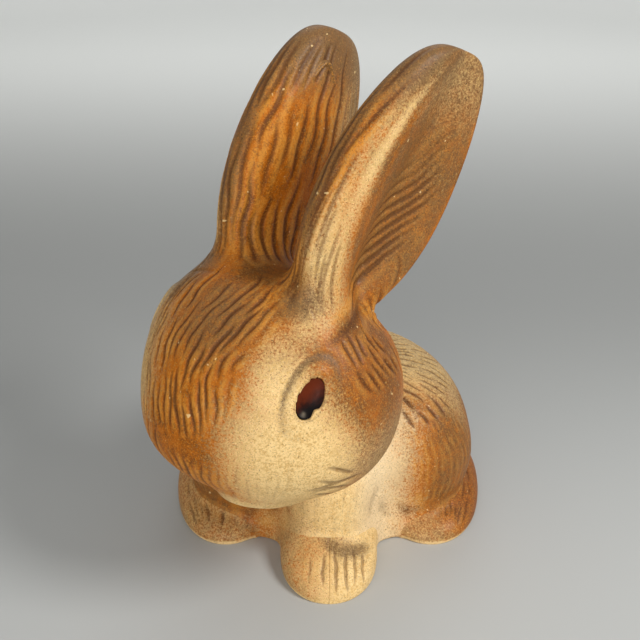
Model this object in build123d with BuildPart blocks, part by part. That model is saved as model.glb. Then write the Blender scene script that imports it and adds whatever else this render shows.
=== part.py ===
from build123d import *
import math
import os

# A hollow cast rabbit in millimetres and degrees. Up is +Z, the body faces -Y and the rabbit's
# left is +X. The underside lies on Z = 0, below the middle of the body.

# Clay and joints
shell_wall = 6.0
luting_gap = 0.3
cut_overrun = 4.0

# Body, a low dome whose outline is read at each height
body_height = 77.0
body_half_width = 74.0
body_back_depth = 70.0
body_front_depth = 44.0
body_set_back = 8.0
body_width_shares = [0.82, 0.95, 1.0, 0.98, 0.91, 0.79, 0.62, 0.38, 0.0]
body_back_shares = [0.93, 0.98, 1.0, 1.0, 0.95, 0.86, 0.70, 0.44, 0.0]
body_front_shares = [1.12, 1.05, 1.06, 1.08, 1.0, 0.88, 0.68, 0.42, 0.0]
body_rump_share = 0.9
body_haunch_share = 0.62

# Chest, the block of the two forelegs under the chin
chest_half_width = 21.5
chest_lead = 24.0
chest_top_share = 0.80
chest_corner_share = 0.7
chest_lead_shares = [1.0, 1.0, 0.94, 0.72, 0.25]

# Head, an egg that lies along the way the rabbit looks
head_turn_angle = 46.0
head_tip_angle = 4.0
head_tilt_angle = 2.0
head_reach = 58.0
head_half_width = 61.0
head_crown = 50.0
head_jaw = 46.5
head_side_shift = 26.0
head_lead = 17.0
neck_height_share = 0.72
head_corner_share = 0.9
head_width_shares = [0.76, 0.82, 0.90, 0.97, 1.0, 0.99, 0.95, 0.92, 0.90]
head_crown_shares = [0.84, 0.98, 1.08, 1.10, 1.04, 0.95, 0.87, 0.80, 0.76]
head_jaw_shares = [0.74, 0.84, 0.94, 1.02, 1.05, 1.04, 1.02, 0.98, 0.94]
head_drop_shares = [0.17, 0.15, 0.09, 0.02, 0.0, 0.0, 0.0, 0.0, 0.0]

# Ears, swept back, each a thick leaf with a dished outer face and a round front rim
ear_sweep_angle = 23.0
ear_inner_thickness = 13.0
ear_rim_thickness = 15.0
ear_dish_depth = 12.0
ear_bend = 10.0
ear_root_back_share = 0.155
ear_root_height_share = 0.56
ear_dish_middle_share = -0.15
ear_dish_spread_share = 0.45
ear_width_shares = [0.54, 0.74, 0.95, 1.08, 1.15, 1.18, 1.18, 1.15, 1.1]
ear_rear_shares = [0.45, 0.70, 0.90, 0.98, 1.0, 1.0, 1.0, 1.0, 1.0]
ear_inner_shares = [1.2, 1.1, 1.0, 1.05, 1.1, 1.1, 1.1, 1.1, 1.1]
ear_rim_shares = [1.0, 1.0, 1.0, 1.05, 1.1, 1.1, 1.1, 1.1, 1.1]
ear_dish_shares = [0.0, 0.5, 1.0, 1.0, 1.0, 0.9, 0.8, 0.7, 0.5]
ear_rim_lean_share = 0.45
ear_inner_lean_share = 0.35
ear_end_share = 0.6
left_ear_length = 127.0
left_ear_front_width = 34.7
left_ear_rear_width = 29.3
left_ear_splay_angle = 5.5
left_ear_twist_angle = 10.0
left_ear_root_share = 0.43
right_ear_length = 122.5
right_ear_front_width = 31.4
right_ear_rear_width = 33.0
right_ear_splay_angle = 4.0
right_ear_twist_angle = -2.0
right_ear_root_share = 0.38

# Eyes, glossy insets in blind sockets
eye_length = 18.0
eye_width = 10.5
eye_turn_angle = 64.0
eye_rise_angle = 22.0
eye_lean_angle = 29.0
eye_set_back = 1.0
eye_clearance = 0.15
eye_edge_radius = 0.8
socket_depth = 4.0

# Forepaws, one low lobe in front of the chest, parted down the middle
paw_half_width = 23.5
paw_height = 20.0
paw_lead = 25.0
paw_tuck = 16.0
paw_width_shares = [0.9, 1.0, 1.0, 1.0, 1.0]
paw_height_shares = [0.7, 0.8, 1.0, 1.1, 1.1]

# Hind feet, low lobes that show round the haunches
foot_half_width = 27.0
foot_height = 18.0
foot_toe_lead = 8.0
foot_heel_depth = 42.0
foot_spread_share = 0.69
foot_toe_in = 4.0
foot_width_shares = [0.9, 0.98, 1.0, 1.0, 0.9]
foot_height_shares = [0.8, 0.9, 1.0, 1.1, 1.1]

# Shape of a lobe's section and of its ends
lobe_floor_share = 0.2
lobe_corner_share = 0.8
lobe_end_share = 0.8

# Tail
tail_radius = 16.0
tail_sink_share = 0.4
tail_height_share = 0.3

# Underside and air holes
base_thickness = 5.0
base_vent_diameter = 8.0
base_vent_back_share = 0.36
neck_vent_diameter = 10.0
neck_vent_height_share = 0.5

# Counts and end stations of the drawn outlines
outline_points = 24
body_stations = 12
head_stations = 13
ear_stations = 10
lobe_stations = 9
dome_end_share = 0.985
dome_spacing_share = 0.8
ear_end_station_share = 0.985
egg_end_share = 0.03
lobe_cap_share = 0.04


def read_shares(shares, along):
    """A smooth curve through evenly spaced shares, read at a share of its length."""
    last = len(shares) - 1
    place = min(max(along, 0), 1) * last
    i = min(int(place), last - 1)
    s = place - i
    start, end = shares[i], shares[i + 1]
    before = shares[i - 1] if i > 0 else 2 * start - end
    after = shares[i + 2] if i + 2 <= last else 2 * end - start
    bend = 2 * before - 5 * start + 4 * end - after
    twist = 3 * start - before - 3 * end + after
    return start + s * (end - before + s * (bend + s * twist)) / 2


def rounded(value, power):
    """A signed power: below 1 it turns an ellipse into a fuller outline."""
    return math.copysign(abs(value) ** power, value)


def full_turn(count=outline_points):
    """Evenly spaced angles of one turn."""
    return [2 * math.pi * i / count for i in range(count)]


def draw_ring(plane, points):
    """One smooth closed outline as a face on its plane."""
    with BuildSketch(plane) as ring:
        with BuildLine():
            Spline(*points, periodic=True)
        make_face()
    return ring.sketch.face()


def body_outline(along, grow=0.0):
    """The level outline of the body at a share of the way from the floor to the top."""
    half_width = (body_half_width + grow) * read_shares(body_width_shares, along)
    back = (body_back_depth + grow) * read_shares(body_back_shares, along)
    front = (body_front_depth + grow) * read_shares(body_front_shares, along)
    points = []
    for angle in full_turn():
        behind = math.sin(angle) > 0
        power = body_rump_share if behind else body_haunch_share
        depth = back if behind else front
        x = half_width * rounded(math.cos(angle), power)
        y = body_set_back + depth * rounded(math.sin(angle), power)
        points.append((x, y))
    return points


def body_rings(grow=0.0):
    """The outlines of the body, closer together towards the top."""
    rings = []
    for i in range(body_stations):
        along = dome_end_share * (i / (body_stations - 1)) ** dome_spacing_share
        height = (body_height + grow) * math.sin(along * math.pi / 2)
        rings.append(draw_ring(Plane.XY.offset(height), body_outline(along, grow)))
    return rings


def chest_rings(grow=0.0):
    """The outlines of the foreleg block, which leans back towards the neck."""
    rings = []
    last = len(chest_lead_shares) - 1
    for i, share in enumerate(chest_lead_shares):
        half_width = chest_half_width + grow
        half_depth = (body_front_depth + chest_lead * share) / 2 + grow
        centre_y = body_set_back - (body_front_depth + chest_lead * share) / 2
        points = []
        for angle in full_turn():
            x = half_width * rounded(math.cos(angle), chest_corner_share)
            y = centre_y + half_depth * rounded(math.sin(angle), chest_corner_share)
            points.append((x, y))
        height = (body_height * chest_top_share + grow) * i / last
        rings.append(draw_ring(Plane.XY.offset(height), points))
    return rings


def turn_with_head(direction):
    """A direction of the straight head (nose -Y, left +X) as it lies in the turned head."""
    tilted = Vector(*direction).rotate(Axis.Y, head_tilt_angle)
    tipped = tilted.rotate(Axis.X, -head_tip_angle)
    return tipped.rotate(Axis.Z, -head_turn_angle)


head_centre = Vector(
    -head_side_shift,
    body_set_back - body_front_depth - head_lead,
    body_height * neck_height_share + head_jaw,
)
head_forward = turn_with_head((0, -1, 0))
head_left = turn_with_head((1, 0, 0))
head_up = turn_with_head((0, 0, 1))
head_plane = Plane(origin=head_centre, x_dir=head_left, z_dir=head_forward)


def head_rings(grow=0.0):
    """Upright outlines of the head from the muzzle to the nape."""
    rings = []
    for i in range(head_stations):
        along = egg_end_share + (1 - 2 * egg_end_share) * i / (head_stations - 1)
        swell = math.sin(along * math.pi)
        half_width = (head_half_width + grow) * read_shares(head_width_shares, along) * swell
        crown = (head_crown + grow) * read_shares(head_crown_shares, along) * swell
        jaw = (head_jaw + grow) * read_shares(head_jaw_shares, along) * swell
        drop = head_jaw * read_shares(head_drop_shares, along)
        points = []
        for angle in full_turn():
            rise = crown if math.sin(angle) > 0 else jaw
            x = half_width * rounded(math.cos(angle), head_corner_share)
            y = rise * rounded(math.sin(angle), head_corner_share) - drop
            points.append((x, y))
        forward = (head_reach + grow) * math.cos(along * math.pi)
        rings.append(draw_ring(head_plane.offset(forward), points))
    return rings


def ear_outline(along, end, side, front_width, rear_width):
    """The outline across an ear: front rim, dished outer face, rear rim, round inner face."""
    width = end * read_shares(ear_width_shares, along)
    rear_share = read_shares(ear_rear_shares, along)
    inner = ear_inner_thickness * end * read_shares(ear_inner_shares, along)
    rim = ear_rim_thickness * end * read_shares(ear_rim_shares, along)
    dish = ear_dish_depth * end * read_shares(ear_dish_shares, along)
    points = []
    for angle in full_turn():
        front = math.cos(angle)
        reach = front_width if front > 0 else rear_width * rear_share
        swell = abs(math.sin(angle))
        hollow = math.exp(-(((front - ear_dish_middle_share) / ear_dish_spread_share) ** 2))
        outward = swell * (rim * (1 - ear_rim_lean_share * (1 - front)) - dish * hollow)
        inward = swell * inner * (1 + ear_inner_lean_share * front)
        y = outward if math.sin(angle) > 0 else -inward
        points.append((width * reach * front, side * y))
    return points


def ear_rings(side, length, front_width, rear_width, splay, twist, root_share):
    """The outlines of one ear from its root inside the head to its round tip."""
    level_forward = Vector(0, -1, 0).rotate(Axis.Z, -head_turn_angle)
    level_side = Vector(side, 0, 0).rotate(Axis.Z, -head_turn_angle)
    sweep, spread, turn = (math.radians(angle) for angle in (ear_sweep_angle, splay, twist))
    upright = Vector(0, 0, 1) * math.cos(sweep) - level_forward * math.sin(sweep)
    rib = upright * math.cos(spread) + level_side * math.sin(spread)
    facing = level_side * math.cos(turn) + level_forward * math.sin(turn)
    facing = (facing - rib * facing.dot(rib)).normalized()
    front = facing.cross(rib) * side
    root = (
        head_centre
        - head_forward * (head_reach * ear_root_back_share)
        + head_left * (side * head_half_width * root_share)
        + head_up * (head_crown * ear_root_height_share)
    )
    rings = []
    for i in range(ear_stations):
        angle = ear_end_station_share * i / (ear_stations - 1) * math.pi / 2
        along = math.sin(angle)
        end = math.cos(angle) ** ear_end_share
        centre = root + rib * (length * along) - front * (ear_bend * along**2)
        station = Plane(origin=centre, x_dir=front, z_dir=rib)
        outline = ear_outline(along, end, side, front_width, rear_width)
        rings.append(draw_ring(station, outline))
    return rings


def lobe_sections(half_width, height, front_y, back_y, width_shares, height_shares, centre_x=0.0, toe_in=0.0):
    """Upright sections of a low form on the floor, each a smooth arch on a flat foot."""
    sections = []
    floor_angle = math.asin((lobe_floor_share / (1 - lobe_floor_share)) ** (1 / lobe_corner_share))
    last = outline_points // 2
    for i in range(lobe_stations):
        along = lobe_cap_share + (1 - 2 * lobe_cap_share) * i / (lobe_stations - 1)
        swell = math.sin(along * math.pi) ** lobe_end_share
        width = half_width * read_shares(width_shares, along) * swell
        rise = height * read_shares(height_shares, along) * swell
        y = (front_y + back_y) / 2 - (back_y - front_y) / 2 * math.cos(along * math.pi)
        middle = centre_x + toe_in * (y - front_y) / (back_y - front_y)
        points = []
        for k in range(last + 1):
            angle = -floor_angle + (math.pi + 2 * floor_angle) * k / last
            lift = lobe_floor_share + (1 - lobe_floor_share) * rounded(math.sin(angle), lobe_corner_share)
            points.append((middle + width * math.cos(angle), rise * max(lift, 0)))
        with BuildSketch(Plane(origin=(0, y, 0), x_dir=(1, 0, 0), z_dir=(0, -1, 0))) as section:
            with BuildLine():
                arch = Spline(*points)
                Line(arch @ 1, arch @ 0)
            make_face()
        sections.append(section.sketch.face())
    return sections


# Neck vent: an air hole from the body's hollow to the head's
neck_vent_start = Vector(0, body_set_back - body_front_depth / 2, body_height * neck_vent_height_share)
neck_vent_plane = Plane(origin=neck_vent_start, z_dir=head_centre - neck_vent_start)
neck_vent_length = (head_centre - neck_vent_start).length

with BuildPart() as neck_vent:
    with BuildSketch(neck_vent_plane):
        Circle(neck_vent_diameter / 2)
    extrude(amount=neck_vent_length)

# Body shell: the cast dome with the foreleg block on its front, open underneath
with BuildPart() as body_shell:
    loft(body_rings())
    loft(chest_rings())
    loft(body_rings(-shell_wall), mode=Mode.SUBTRACT)
    add(neck_vent.part, mode=Mode.SUBTRACT)
body_shell.part.label = "body_shell"

# Base plate: closes the underside inside the rim of the body
with BuildPart() as base_plate:
    add(draw_ring(Plane.XY, body_outline(0, -shell_wall - luting_gap)))
    extrude(amount=base_thickness)
    with BuildSketch():
        with Locations((0, body_set_back + body_back_depth * base_vent_back_share)):
            Circle(base_vent_diameter / 2)
    extrude(amount=base_thickness, mode=Mode.SUBTRACT)
base_plate.part.label = "base_plate"

# The outer forms that the luted pieces are cut to, a gap larger than the clay
with BuildPart() as body_seat:
    loft(body_rings(luting_gap))
    loft(chest_rings(luting_gap))

with BuildPart() as head_form:
    loft(head_rings())

with BuildPart() as head_seat:
    loft(head_rings(luting_gap))

# The head's hollow, which leaves a floor as thick as its wall over the body
with BuildPart() as head_hollow:
    loft(head_rings(-shell_wall))
    loft(body_rings(luting_gap + shell_wall), mode=Mode.SUBTRACT)
    loft(chest_rings(luting_gap + shell_wall), mode=Mode.SUBTRACT)


def find_eye_plane(side):
    """The plane on the head's skin at an eye: X along the eye, Z straight out."""
    turn, rise, lean = (math.radians(angle) for angle in (eye_turn_angle, eye_rise_angle, eye_lean_angle))
    sight = head_forward * math.cos(turn) + head_left * (side * math.sin(turn))
    sight = sight * math.cos(rise) + head_up * math.sin(rise)
    hits = head_form.part.find_intersection_points(Axis(head_centre, sight))
    point, outward = max(hits, key=lambda hit: (hit[0] - head_centre).dot(sight))
    if outward.dot(sight) < 0:
        outward = outward * -1
    return Plane(
        origin=point,
        x_dir=head_up * math.cos(lean) - head_forward * math.sin(lean),
        z_dir=outward,
    )


eye_planes = {"left": find_eye_plane(1), "right": find_eye_plane(-1)}

# Head shell: the hollow egg, cut to sit on the body, with a blind socket for each eye
with BuildPart() as head_shell:
    loft(head_rings())
    add(head_hollow.part, mode=Mode.SUBTRACT)
    add(body_seat.part, mode=Mode.SUBTRACT)
    add(neck_vent.part, mode=Mode.SUBTRACT)
    for eye_plane in eye_planes.values():
        with BuildSketch(eye_plane.offset(-socket_depth)):
            Ellipse(eye_length / 2, eye_width / 2)
        extrude(amount=socket_depth + cut_overrun, mode=Mode.SUBTRACT)
head_shell.part.label = "head_shell"

# Eyes: insets that stand on the floor of their sockets, a little below the skin
eyes = []
for name, eye_plane in eye_planes.items():
    with BuildPart() as eye:
        with BuildSketch(eye_plane.offset(-socket_depth)):
            Ellipse(eye_length / 2 - eye_clearance, eye_width / 2 - eye_clearance)
        extrude(amount=socket_depth - eye_set_back)
        front_face = eye.faces().filter_by(GeomType.PLANE).sort_by(Axis(eye_plane.origin, eye_plane.z_dir))[-1]
        fillet(front_face.edges(), radius=eye_edge_radius)
    eye.part.label = f"{name}_eye"
    eyes.append(eye.part)

# Ears: luted on the crown of the head
ears = []
ear_sizes = {
    "left": (1, left_ear_length, left_ear_front_width, left_ear_rear_width),
    "right": (-1, right_ear_length, right_ear_front_width, right_ear_rear_width),
}
ear_places = {
    "left": (left_ear_splay_angle, left_ear_twist_angle, left_ear_root_share),
    "right": (right_ear_splay_angle, right_ear_twist_angle, right_ear_root_share),
}
for name, sizes in ear_sizes.items():
    with BuildPart() as ear:
        loft(ear_rings(*sizes, *ear_places[name]))
        add(head_seat.part, mode=Mode.SUBTRACT)
    ear.part.label = f"{name}_ear"
    ears.append(ear.part)

# Forepaws: one lobe against the chest, parted down the middle
chest_front_y = body_set_back - body_front_depth - chest_lead
paws = []
for name, side in (("left", 1), ("right", -1)):
    with BuildPart() as paw:
        loft(
            lobe_sections(
                paw_half_width,
                paw_height,
                chest_front_y - paw_lead,
                chest_front_y + paw_tuck + paw_lead,
                paw_width_shares,
                paw_height_shares,
            )
        )
        split(bisect_by=Plane(origin=(side * luting_gap / 2, 0, 0), z_dir=(side, 0, 0)), keep=Keep.TOP)
        add(body_seat.part, mode=Mode.SUBTRACT)
        front_piece = paw.solids().sort_by(Axis.Y)[0]
    front_piece.label = f"{name}_forepaw"
    paws.append(front_piece)

# Hind feet: each lies under its haunch and shows round it
feet = []
for name, side in (("left", 1), ("right", -1)):
    with BuildPart() as foot:
        loft(
            lobe_sections(
                foot_half_width,
                foot_height,
                body_set_back - body_front_depth - foot_toe_lead,
                body_set_back + foot_heel_depth,
                foot_width_shares,
                foot_height_shares,
                centre_x=side * body_half_width * foot_spread_share,
                toe_in=side * foot_toe_in,
            )
        )
        add(body_seat.part, mode=Mode.SUBTRACT)
        outer_piece = foot.solids().sort_by(SortBy.VOLUME)[-1]
    outer_piece.label = f"{name}_hind_foot"
    feet.append(outer_piece)

# Tail: a ball pressed on the rump
with BuildPart() as tail:
    tail_y = body_set_back + body_back_depth + tail_radius * tail_sink_share
    with Locations((0, tail_y, body_height * tail_height_share)):
        Sphere(tail_radius)
    add(body_seat.part, mode=Mode.SUBTRACT)
tail.part.label = "tail"

os.makedirs("parts", exist_ok=True)
for piece in (head_shell.part, body_shell.part, base_plate.part, tail.part, *ears, *eyes, *paws, *feet):
    export_step(piece, f"parts/{piece.label}.step")
    print(piece.label, "solids", len(piece.solids()), "volume", round(piece.volume), "box", piece.bounding_box())
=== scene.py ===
import dataclasses
import functools
import math

import bpy
import numpy as np
from bpy.props import FloatProperty, FloatVectorProperty, PointerProperty
from bpy.types import Operator, Panel, PropertyGroup
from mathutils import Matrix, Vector


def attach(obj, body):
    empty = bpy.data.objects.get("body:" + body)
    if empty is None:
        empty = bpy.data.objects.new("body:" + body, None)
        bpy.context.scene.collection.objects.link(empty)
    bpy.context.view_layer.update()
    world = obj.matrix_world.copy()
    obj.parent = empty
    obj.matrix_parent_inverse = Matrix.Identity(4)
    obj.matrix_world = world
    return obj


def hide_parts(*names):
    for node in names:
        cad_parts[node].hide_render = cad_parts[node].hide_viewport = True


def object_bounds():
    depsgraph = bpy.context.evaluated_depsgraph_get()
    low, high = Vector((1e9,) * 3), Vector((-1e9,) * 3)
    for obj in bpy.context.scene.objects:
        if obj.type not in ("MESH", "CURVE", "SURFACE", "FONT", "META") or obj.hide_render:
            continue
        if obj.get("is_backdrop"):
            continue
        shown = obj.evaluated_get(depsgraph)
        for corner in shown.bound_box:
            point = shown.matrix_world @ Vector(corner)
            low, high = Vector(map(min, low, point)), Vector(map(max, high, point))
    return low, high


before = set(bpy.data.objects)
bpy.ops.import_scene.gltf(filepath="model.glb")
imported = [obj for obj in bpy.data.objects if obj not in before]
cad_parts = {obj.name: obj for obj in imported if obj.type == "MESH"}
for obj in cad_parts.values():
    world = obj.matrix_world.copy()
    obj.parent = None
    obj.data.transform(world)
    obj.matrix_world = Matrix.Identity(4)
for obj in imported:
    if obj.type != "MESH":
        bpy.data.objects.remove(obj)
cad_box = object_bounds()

# A spray-glazed cast rabbit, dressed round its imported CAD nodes. Shapes are worked out in
# millimetres: up is +Z, the body faces -Y and the rabbit's left is +X. Directions on the head are
# an azimuth from the nose, positive to its left, and an elevation, both in degrees.

bl_info = {
    "name": "Ceramic rabbit figurine",
    "version": (1, 0, 0),
    "blender": (4, 5, 0),
    "location": "View3D > Sidebar > Rabbit",
    "description": "Builds a cast and spray-glazed rabbit figurine round its packed CAD nodes",
    "category": "Object",
}

MILLIMETRE = 0.001
TINY = 1e-9
QUARTER = math.pi / 2
FULL_TURN = 2 * math.pi

# Searches for skins: the length of a probe, the halvings of a ray, and how near to a neighbour,
# as a share of the joint's radius, and how often a joint is worked out
PROBE = 0.05
HALVINGS = 22
JOINT_REACH_SHARE = 1.3
JOINT_ROUNDS = 9

# Body, a low dome whose outline is read at each height
BODY_HEIGHT = 77.0
BODY_HALF_WIDTH = 74.0
BODY_BACK_DEPTH = 70.0
BODY_FRONT_DEPTH = 44.0
BODY_SET_BACK = 8.0
BODY_WIDTH_SHARES = [0.82, 0.95, 1.0, 0.98, 0.91, 0.79, 0.62, 0.38, 0.0]
BODY_BACK_SHARES = [0.93, 0.98, 1.0, 1.0, 0.95, 0.86, 0.70, 0.44, 0.0]
BODY_FRONT_SHARES = [1.12, 1.05, 1.06, 1.08, 1.0, 0.88, 0.68, 0.42, 0.0]
BODY_RUMP_SHARE = 0.9
BODY_HAUNCH_SHARE = 0.62
SHELL_WALL = 6.0
BODY_EDGE = 1.4
BODY_GIRTH_LEVEL = 22.0

# Chest, the block of the two forelegs under the chin
CHEST_HALF_WIDTH = 21.5
CHEST_LEAD = 24.0
CHEST_TOP_SHARE = 0.80
CHEST_CORNER_SHARE = 0.7
CHEST_LEAD_SHARES = [1.0, 1.0, 0.94, 0.72, 0.25]
CHEST_TOP_ROUND = 10.0
CHEST_JOINT = 16.0

# Head, an egg that lies along the way the rabbit looks
HEAD_TURN = 46.0
HEAD_TIP = 4.0
HEAD_TILT = 2.0
HEAD_REACH = 58.0
HEAD_HALF_WIDTH = 61.0
HEAD_CROWN = 50.0
HEAD_JAW = 46.5
HEAD_SIDE_SHIFT = 26.0
HEAD_LEAD = 17.0
NECK_HEIGHT_SHARE = 0.72
HEAD_CORNER_SHARE = 0.9
HEAD_WIDTH_SHARES = [0.76, 0.82, 0.90, 0.97, 1.0, 0.99, 0.95, 0.92, 0.90]
HEAD_CROWN_SHARES = [0.84, 0.98, 1.08, 1.10, 1.04, 0.95, 0.87, 0.80, 0.76]
HEAD_JAW_SHARES = [0.74, 0.84, 0.94, 1.02, 1.05, 1.04, 1.02, 0.98, 0.94]
HEAD_DROP_SHARES = [0.17, 0.15, 0.09, 0.02, 0.0, 0.0, 0.0, 0.0, 0.0]
# The flat of the chin: its depth, and the middle and the spread of the bell that it fades with
CHIN_FLAT = 5.0
CHIN_AZIMUTH, CHIN_ELEVATION = 42, -58
CHIN_SPREAD, CHIN_RISE = 50, 22

# Ears, swept back, each a thick leaf with a dished outer face and a round front rim
EAR_SWEEP = 23.0
EAR_INNER_THICKNESS = 13.0
EAR_RIM_THICKNESS = 15.0
EAR_DISH_DEPTH = 12.0
EAR_BEND = 10.0
EAR_ROOT_BACK_SHARE = 0.155
EAR_ROOT_HEIGHT_SHARE = 0.56
EAR_DISH_MIDDLE_SHARE = -0.15
EAR_DISH_SPREAD_SHARE = 0.45
EAR_RIM_LEAN_SHARE = 0.45
EAR_INNER_LEAN_SHARE = 0.35
EAR_END_SHARE = 0.6
EAR_WIDTH_SHARES = [0.54, 0.74, 0.95, 1.08, 1.15, 1.18, 1.18, 1.15, 1.1]
EAR_REAR_SHARES = [0.45, 0.70, 0.90, 0.98, 1.0, 1.0, 1.0, 1.0, 1.0]
EAR_INNER_SHARES = [1.2, 1.1, 1.0, 1.05, 1.1, 1.1, 1.1, 1.1, 1.1]
EAR_RIM_SHARES = [1.0, 1.0, 1.0, 1.05, 1.1, 1.1, 1.1, 1.1, 1.1]
EAR_DISH_SHARES = [0.0, 0.5, 1.0, 1.0, 1.0, 0.9, 0.8, 0.7, 0.5]
EAR_JOINT = 16.0

# Eyes, glossy insets in blind sockets
EYE_LENGTH = 18.0
EYE_WIDTH = 10.5
EYE_TURN = 64.0
EYE_RISE = 22.0
EYE_LEAN = 29.0
SOCKET_DEPTH = 4.0
EYE_UNDERSIDE = 3.9
EYE_BOWL_DEPTH = 1.9
EYE_RIM_DEPTH = 1.1
# Sizes of the rings of an eye, from the middle of its bowl over the rim to its underside
EYE_LEVELS = (0, 0.15, 0.3, 0.45, 0.6, 0.72, 0.82, 0.89, 0.93, 0.945, 0.945, 0.94, 0.5, 0)
# Dents of a socket's rim: the angle from the long axis and the spread, in radians, and the share
EYE_DENTS = ((-2.15, 0.30, 0.26), (1.1, 0.9, 0.08), (-1.0, 0.5, 0.08))

# Forepaws and hind feet, low lobes on the floor
PAW_HALF_WIDTH = 23.5
PAW_HEIGHT = 20.0
PAW_LEAD = 25.0
PAW_TUCK = 16.0
PAW_WIDTH_SHARES = [0.9, 1.0, 1.0, 1.0, 1.0]
PAW_HEIGHT_SHARES = [0.7, 0.8, 1.0, 1.1, 1.1]
PAW_PARTING = 0.04
FOOT_HALF_WIDTH = 27.0
FOOT_HEIGHT = 18.0
FOOT_TOE_LEAD = 8.0
FOOT_HEEL_DEPTH = 42.0
FOOT_SPREAD_SHARE = 0.69
FOOT_TOE_IN = 4.0
FOOT_WIDTH_SHARES = [0.9, 0.98, 1.0, 1.0, 0.9]
FOOT_HEIGHT_SHARES = [0.8, 0.9, 1.0, 1.1, 1.1]
LOBE_FLOOR_SHARE = 0.2
LOBE_CORNER_SHARE = 0.8
LOBE_END_SHARE = 0.8
LOBE_FLOOR_ROUND = 1.6
PARTING_ROUND = 0.5

# Tail
TAIL_RADIUS = 16.0
TAIL_SINK_SHARE = 0.4
TAIL_HEIGHT_SHARE = 0.3

# Points of each grid, steps that even them out, reach of the rays that find the skins, and seeds
# of the combed lines
HEAD_RINGS, HEAD_COLUMNS = 111, 436
EYE_COLUMNS = 96
EAR_ROWS, EAR_COLUMNS = 300, 250
BODY_ROWS, BODY_COLUMNS = 160, 560
LOBE_ROWS, LOBE_COLUMNS = 120, 150
TAIL_ROWS, TAIL_COLUMNS = 110, 180
FLOOR_ROWS, FLOOR_COLUMNS = 60, 96
PROFILE_STEPS, EAR_OUTLINE_STEPS, BODY_OUTLINE_STEPS = 400, 721, 1441
HEAD_RAY, BODY_RAY, LOBE_RAY, TOE_RAY = 90.0, 110.0, 60.0, 40.0
SEEDS = {"head": 11, "left_ear": 23, "right_ear": 31, "body": 47, "lobes": 61, "tail": 71}

# Camera, stage and lamps, in metres, degrees and watts
FLOOR_RISE_SHARE = 0.75
WORLD_COLOUR = (0.97, 0.98, 1.0, 1.0)
WORLD_STRENGTH = 0.42
CAMERA_ELEVATION = 28.0
CAMERA_DISTANCE = 0.48
CAMERA_TARGET = (-0.0042, 0.0, 0.103)
CAMERA_FOCUS_SHARE = 985 / 640
# The name, the place, the width and the power of each lamp
LAMPS = (
    ("key_lamp", (0.80, -0.45, 0.95), 0.45, 11.6),
    ("fill_lamp", (-0.75, -1.15, 0.62), 1.1, 3.6),
    ("low_lamp", (-0.16, -1.75, 0.34), 0.95, 14.0),
    ("back_lamp", (0.05, 1.15, 1.30), 1.0, 4.2),
)


def from_display(red, green, blue):
    """A colour as written on a display, 0 to 255, turned into the linear values of a shader."""
    shares = [value / 255 for value in (red, green, blue)]
    return tuple(s / 12.92 if s <= 0.04045 else ((s + 0.055) / 1.055) ** 2.4 for s in shares)


def length_property(name, description, default):
    """One size, in metres."""
    return FloatProperty(name=name, description=description, default=default, unit="LENGTH")


def colour_property(name, description, display):
    """One colour of the glaze, given as it looks on a display."""
    value = from_display(*display)
    return FloatVectorProperty(
        name=name, description=description, default=value, size=3, subtype="COLOR", min=0, max=1
    )


class RabbitSizes(PropertyGroup):
    """Sizes of the surface work that someone would change."""

    groove_depth: length_property("Groove depth", "Depth of the combed fur lines", 0.0007)
    groove_width: length_property("Groove width", "Half width of a combed fur line", 0.00135)
    ear_joint: length_property("Ear joint", "Size of the joint of ear and head", EAR_JOINT * MILLIMETRE)
    foot_joint: length_property("Foot joint", "Size of the joint of feet, paws and body", 0.005)
    lid_height: length_property("Lid height", "How far the lids stand up round an eye", 0.0007)
    floor_radius: length_property("Floor radius", "Radius of the round studio floor", 3.0)

    def in_millimetres(self, *names):
        """The named sizes, as the shapes use them."""
        return [getattr(self, name) / MILLIMETRE for name in names]


class RabbitColours(PropertyGroup):
    """Colours of the glaze, the bare clay, the eyes and the floor."""

    cream: colour_property("Cream", "Ground glaze", (243, 210, 148))
    white: colour_property("White", "Palest glaze, on the lower chest", (238, 218, 186))
    orange: colour_property("Orange", "Sprayed orange-brown", (177, 97, 10))
    gold: colour_property("Gold", "Ridges of the sprayed fur", (206, 140, 54))
    rust: colour_property("Rust", "Dark red-brown of the hind feet", (122, 62, 22))
    # Grey-brown overspray, and also the painted shade of the ring round each eye and of the arc over the
    # forepaws' knuckles
    dusk: colour_property("Dusk", "Grey-brown overspray", (108, 82, 52))
    valley: colour_property("Valley", "Stain that lies in the grooves", (78, 42, 17))
    speck: colour_property("Speck", "Pepper specks in the glaze", (62, 42, 26))
    # The eyes' painted light and shade: red-brown on the upper side as if lit inside a hollow, near black
    # below
    eye_painted_light: colour_property("Eye, light side", "Upper part of the eye", (94, 36, 14))
    eye_painted_shade: colour_property("Eye, dark side", "Lower part of the eye", (12, 7, 7))
    clay: colour_property("Bare clay", "Unglazed underside", (206, 186, 158))
    floor: colour_property("Floor", "Studio floor and backdrop", (179, 180, 177))


# Helpers on arrays


def read_shares(shares, along):
    """A smooth curve through evenly spaced shares: each span is the cubic whose slope at a share
    is half the difference of its two neighbours."""
    table = np.asarray(shares, float)
    last = len(table) - 1
    table = np.concatenate(([2 * table[0] - table[1]], table, [2 * table[-1] - table[-2]]))
    place = np.clip(along, 0, 1) * last
    i = np.minimum(place.astype(int), last - 1)
    s = place - i
    before, start, end, after = (table[i + k] for k in range(4))
    bend = 2 * before - 5 * start + 4 * end - after
    twist = 3 * start - before - 3 * end + after
    return start + s * (end - before + s * (bend + s * twist)) / 2


def rounded(value, power):
    """A signed power: below 1 it turns an ellipse into a fuller outline."""
    return np.sign(value) * np.abs(value) ** power


def ease(low, high, value):
    """A smooth step from 0 at low to 1 at high: 3s squared less 2s cubed."""
    s = np.clip((value - low) / (high - low), 0, 1)
    return s * s * (3 - 2 * s)


def bell(value, middle, spread):
    """A bell curve: the exponential of minus the square of the distance over the spread."""
    return np.exp(-(((value - middle) / spread) ** 2))


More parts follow.
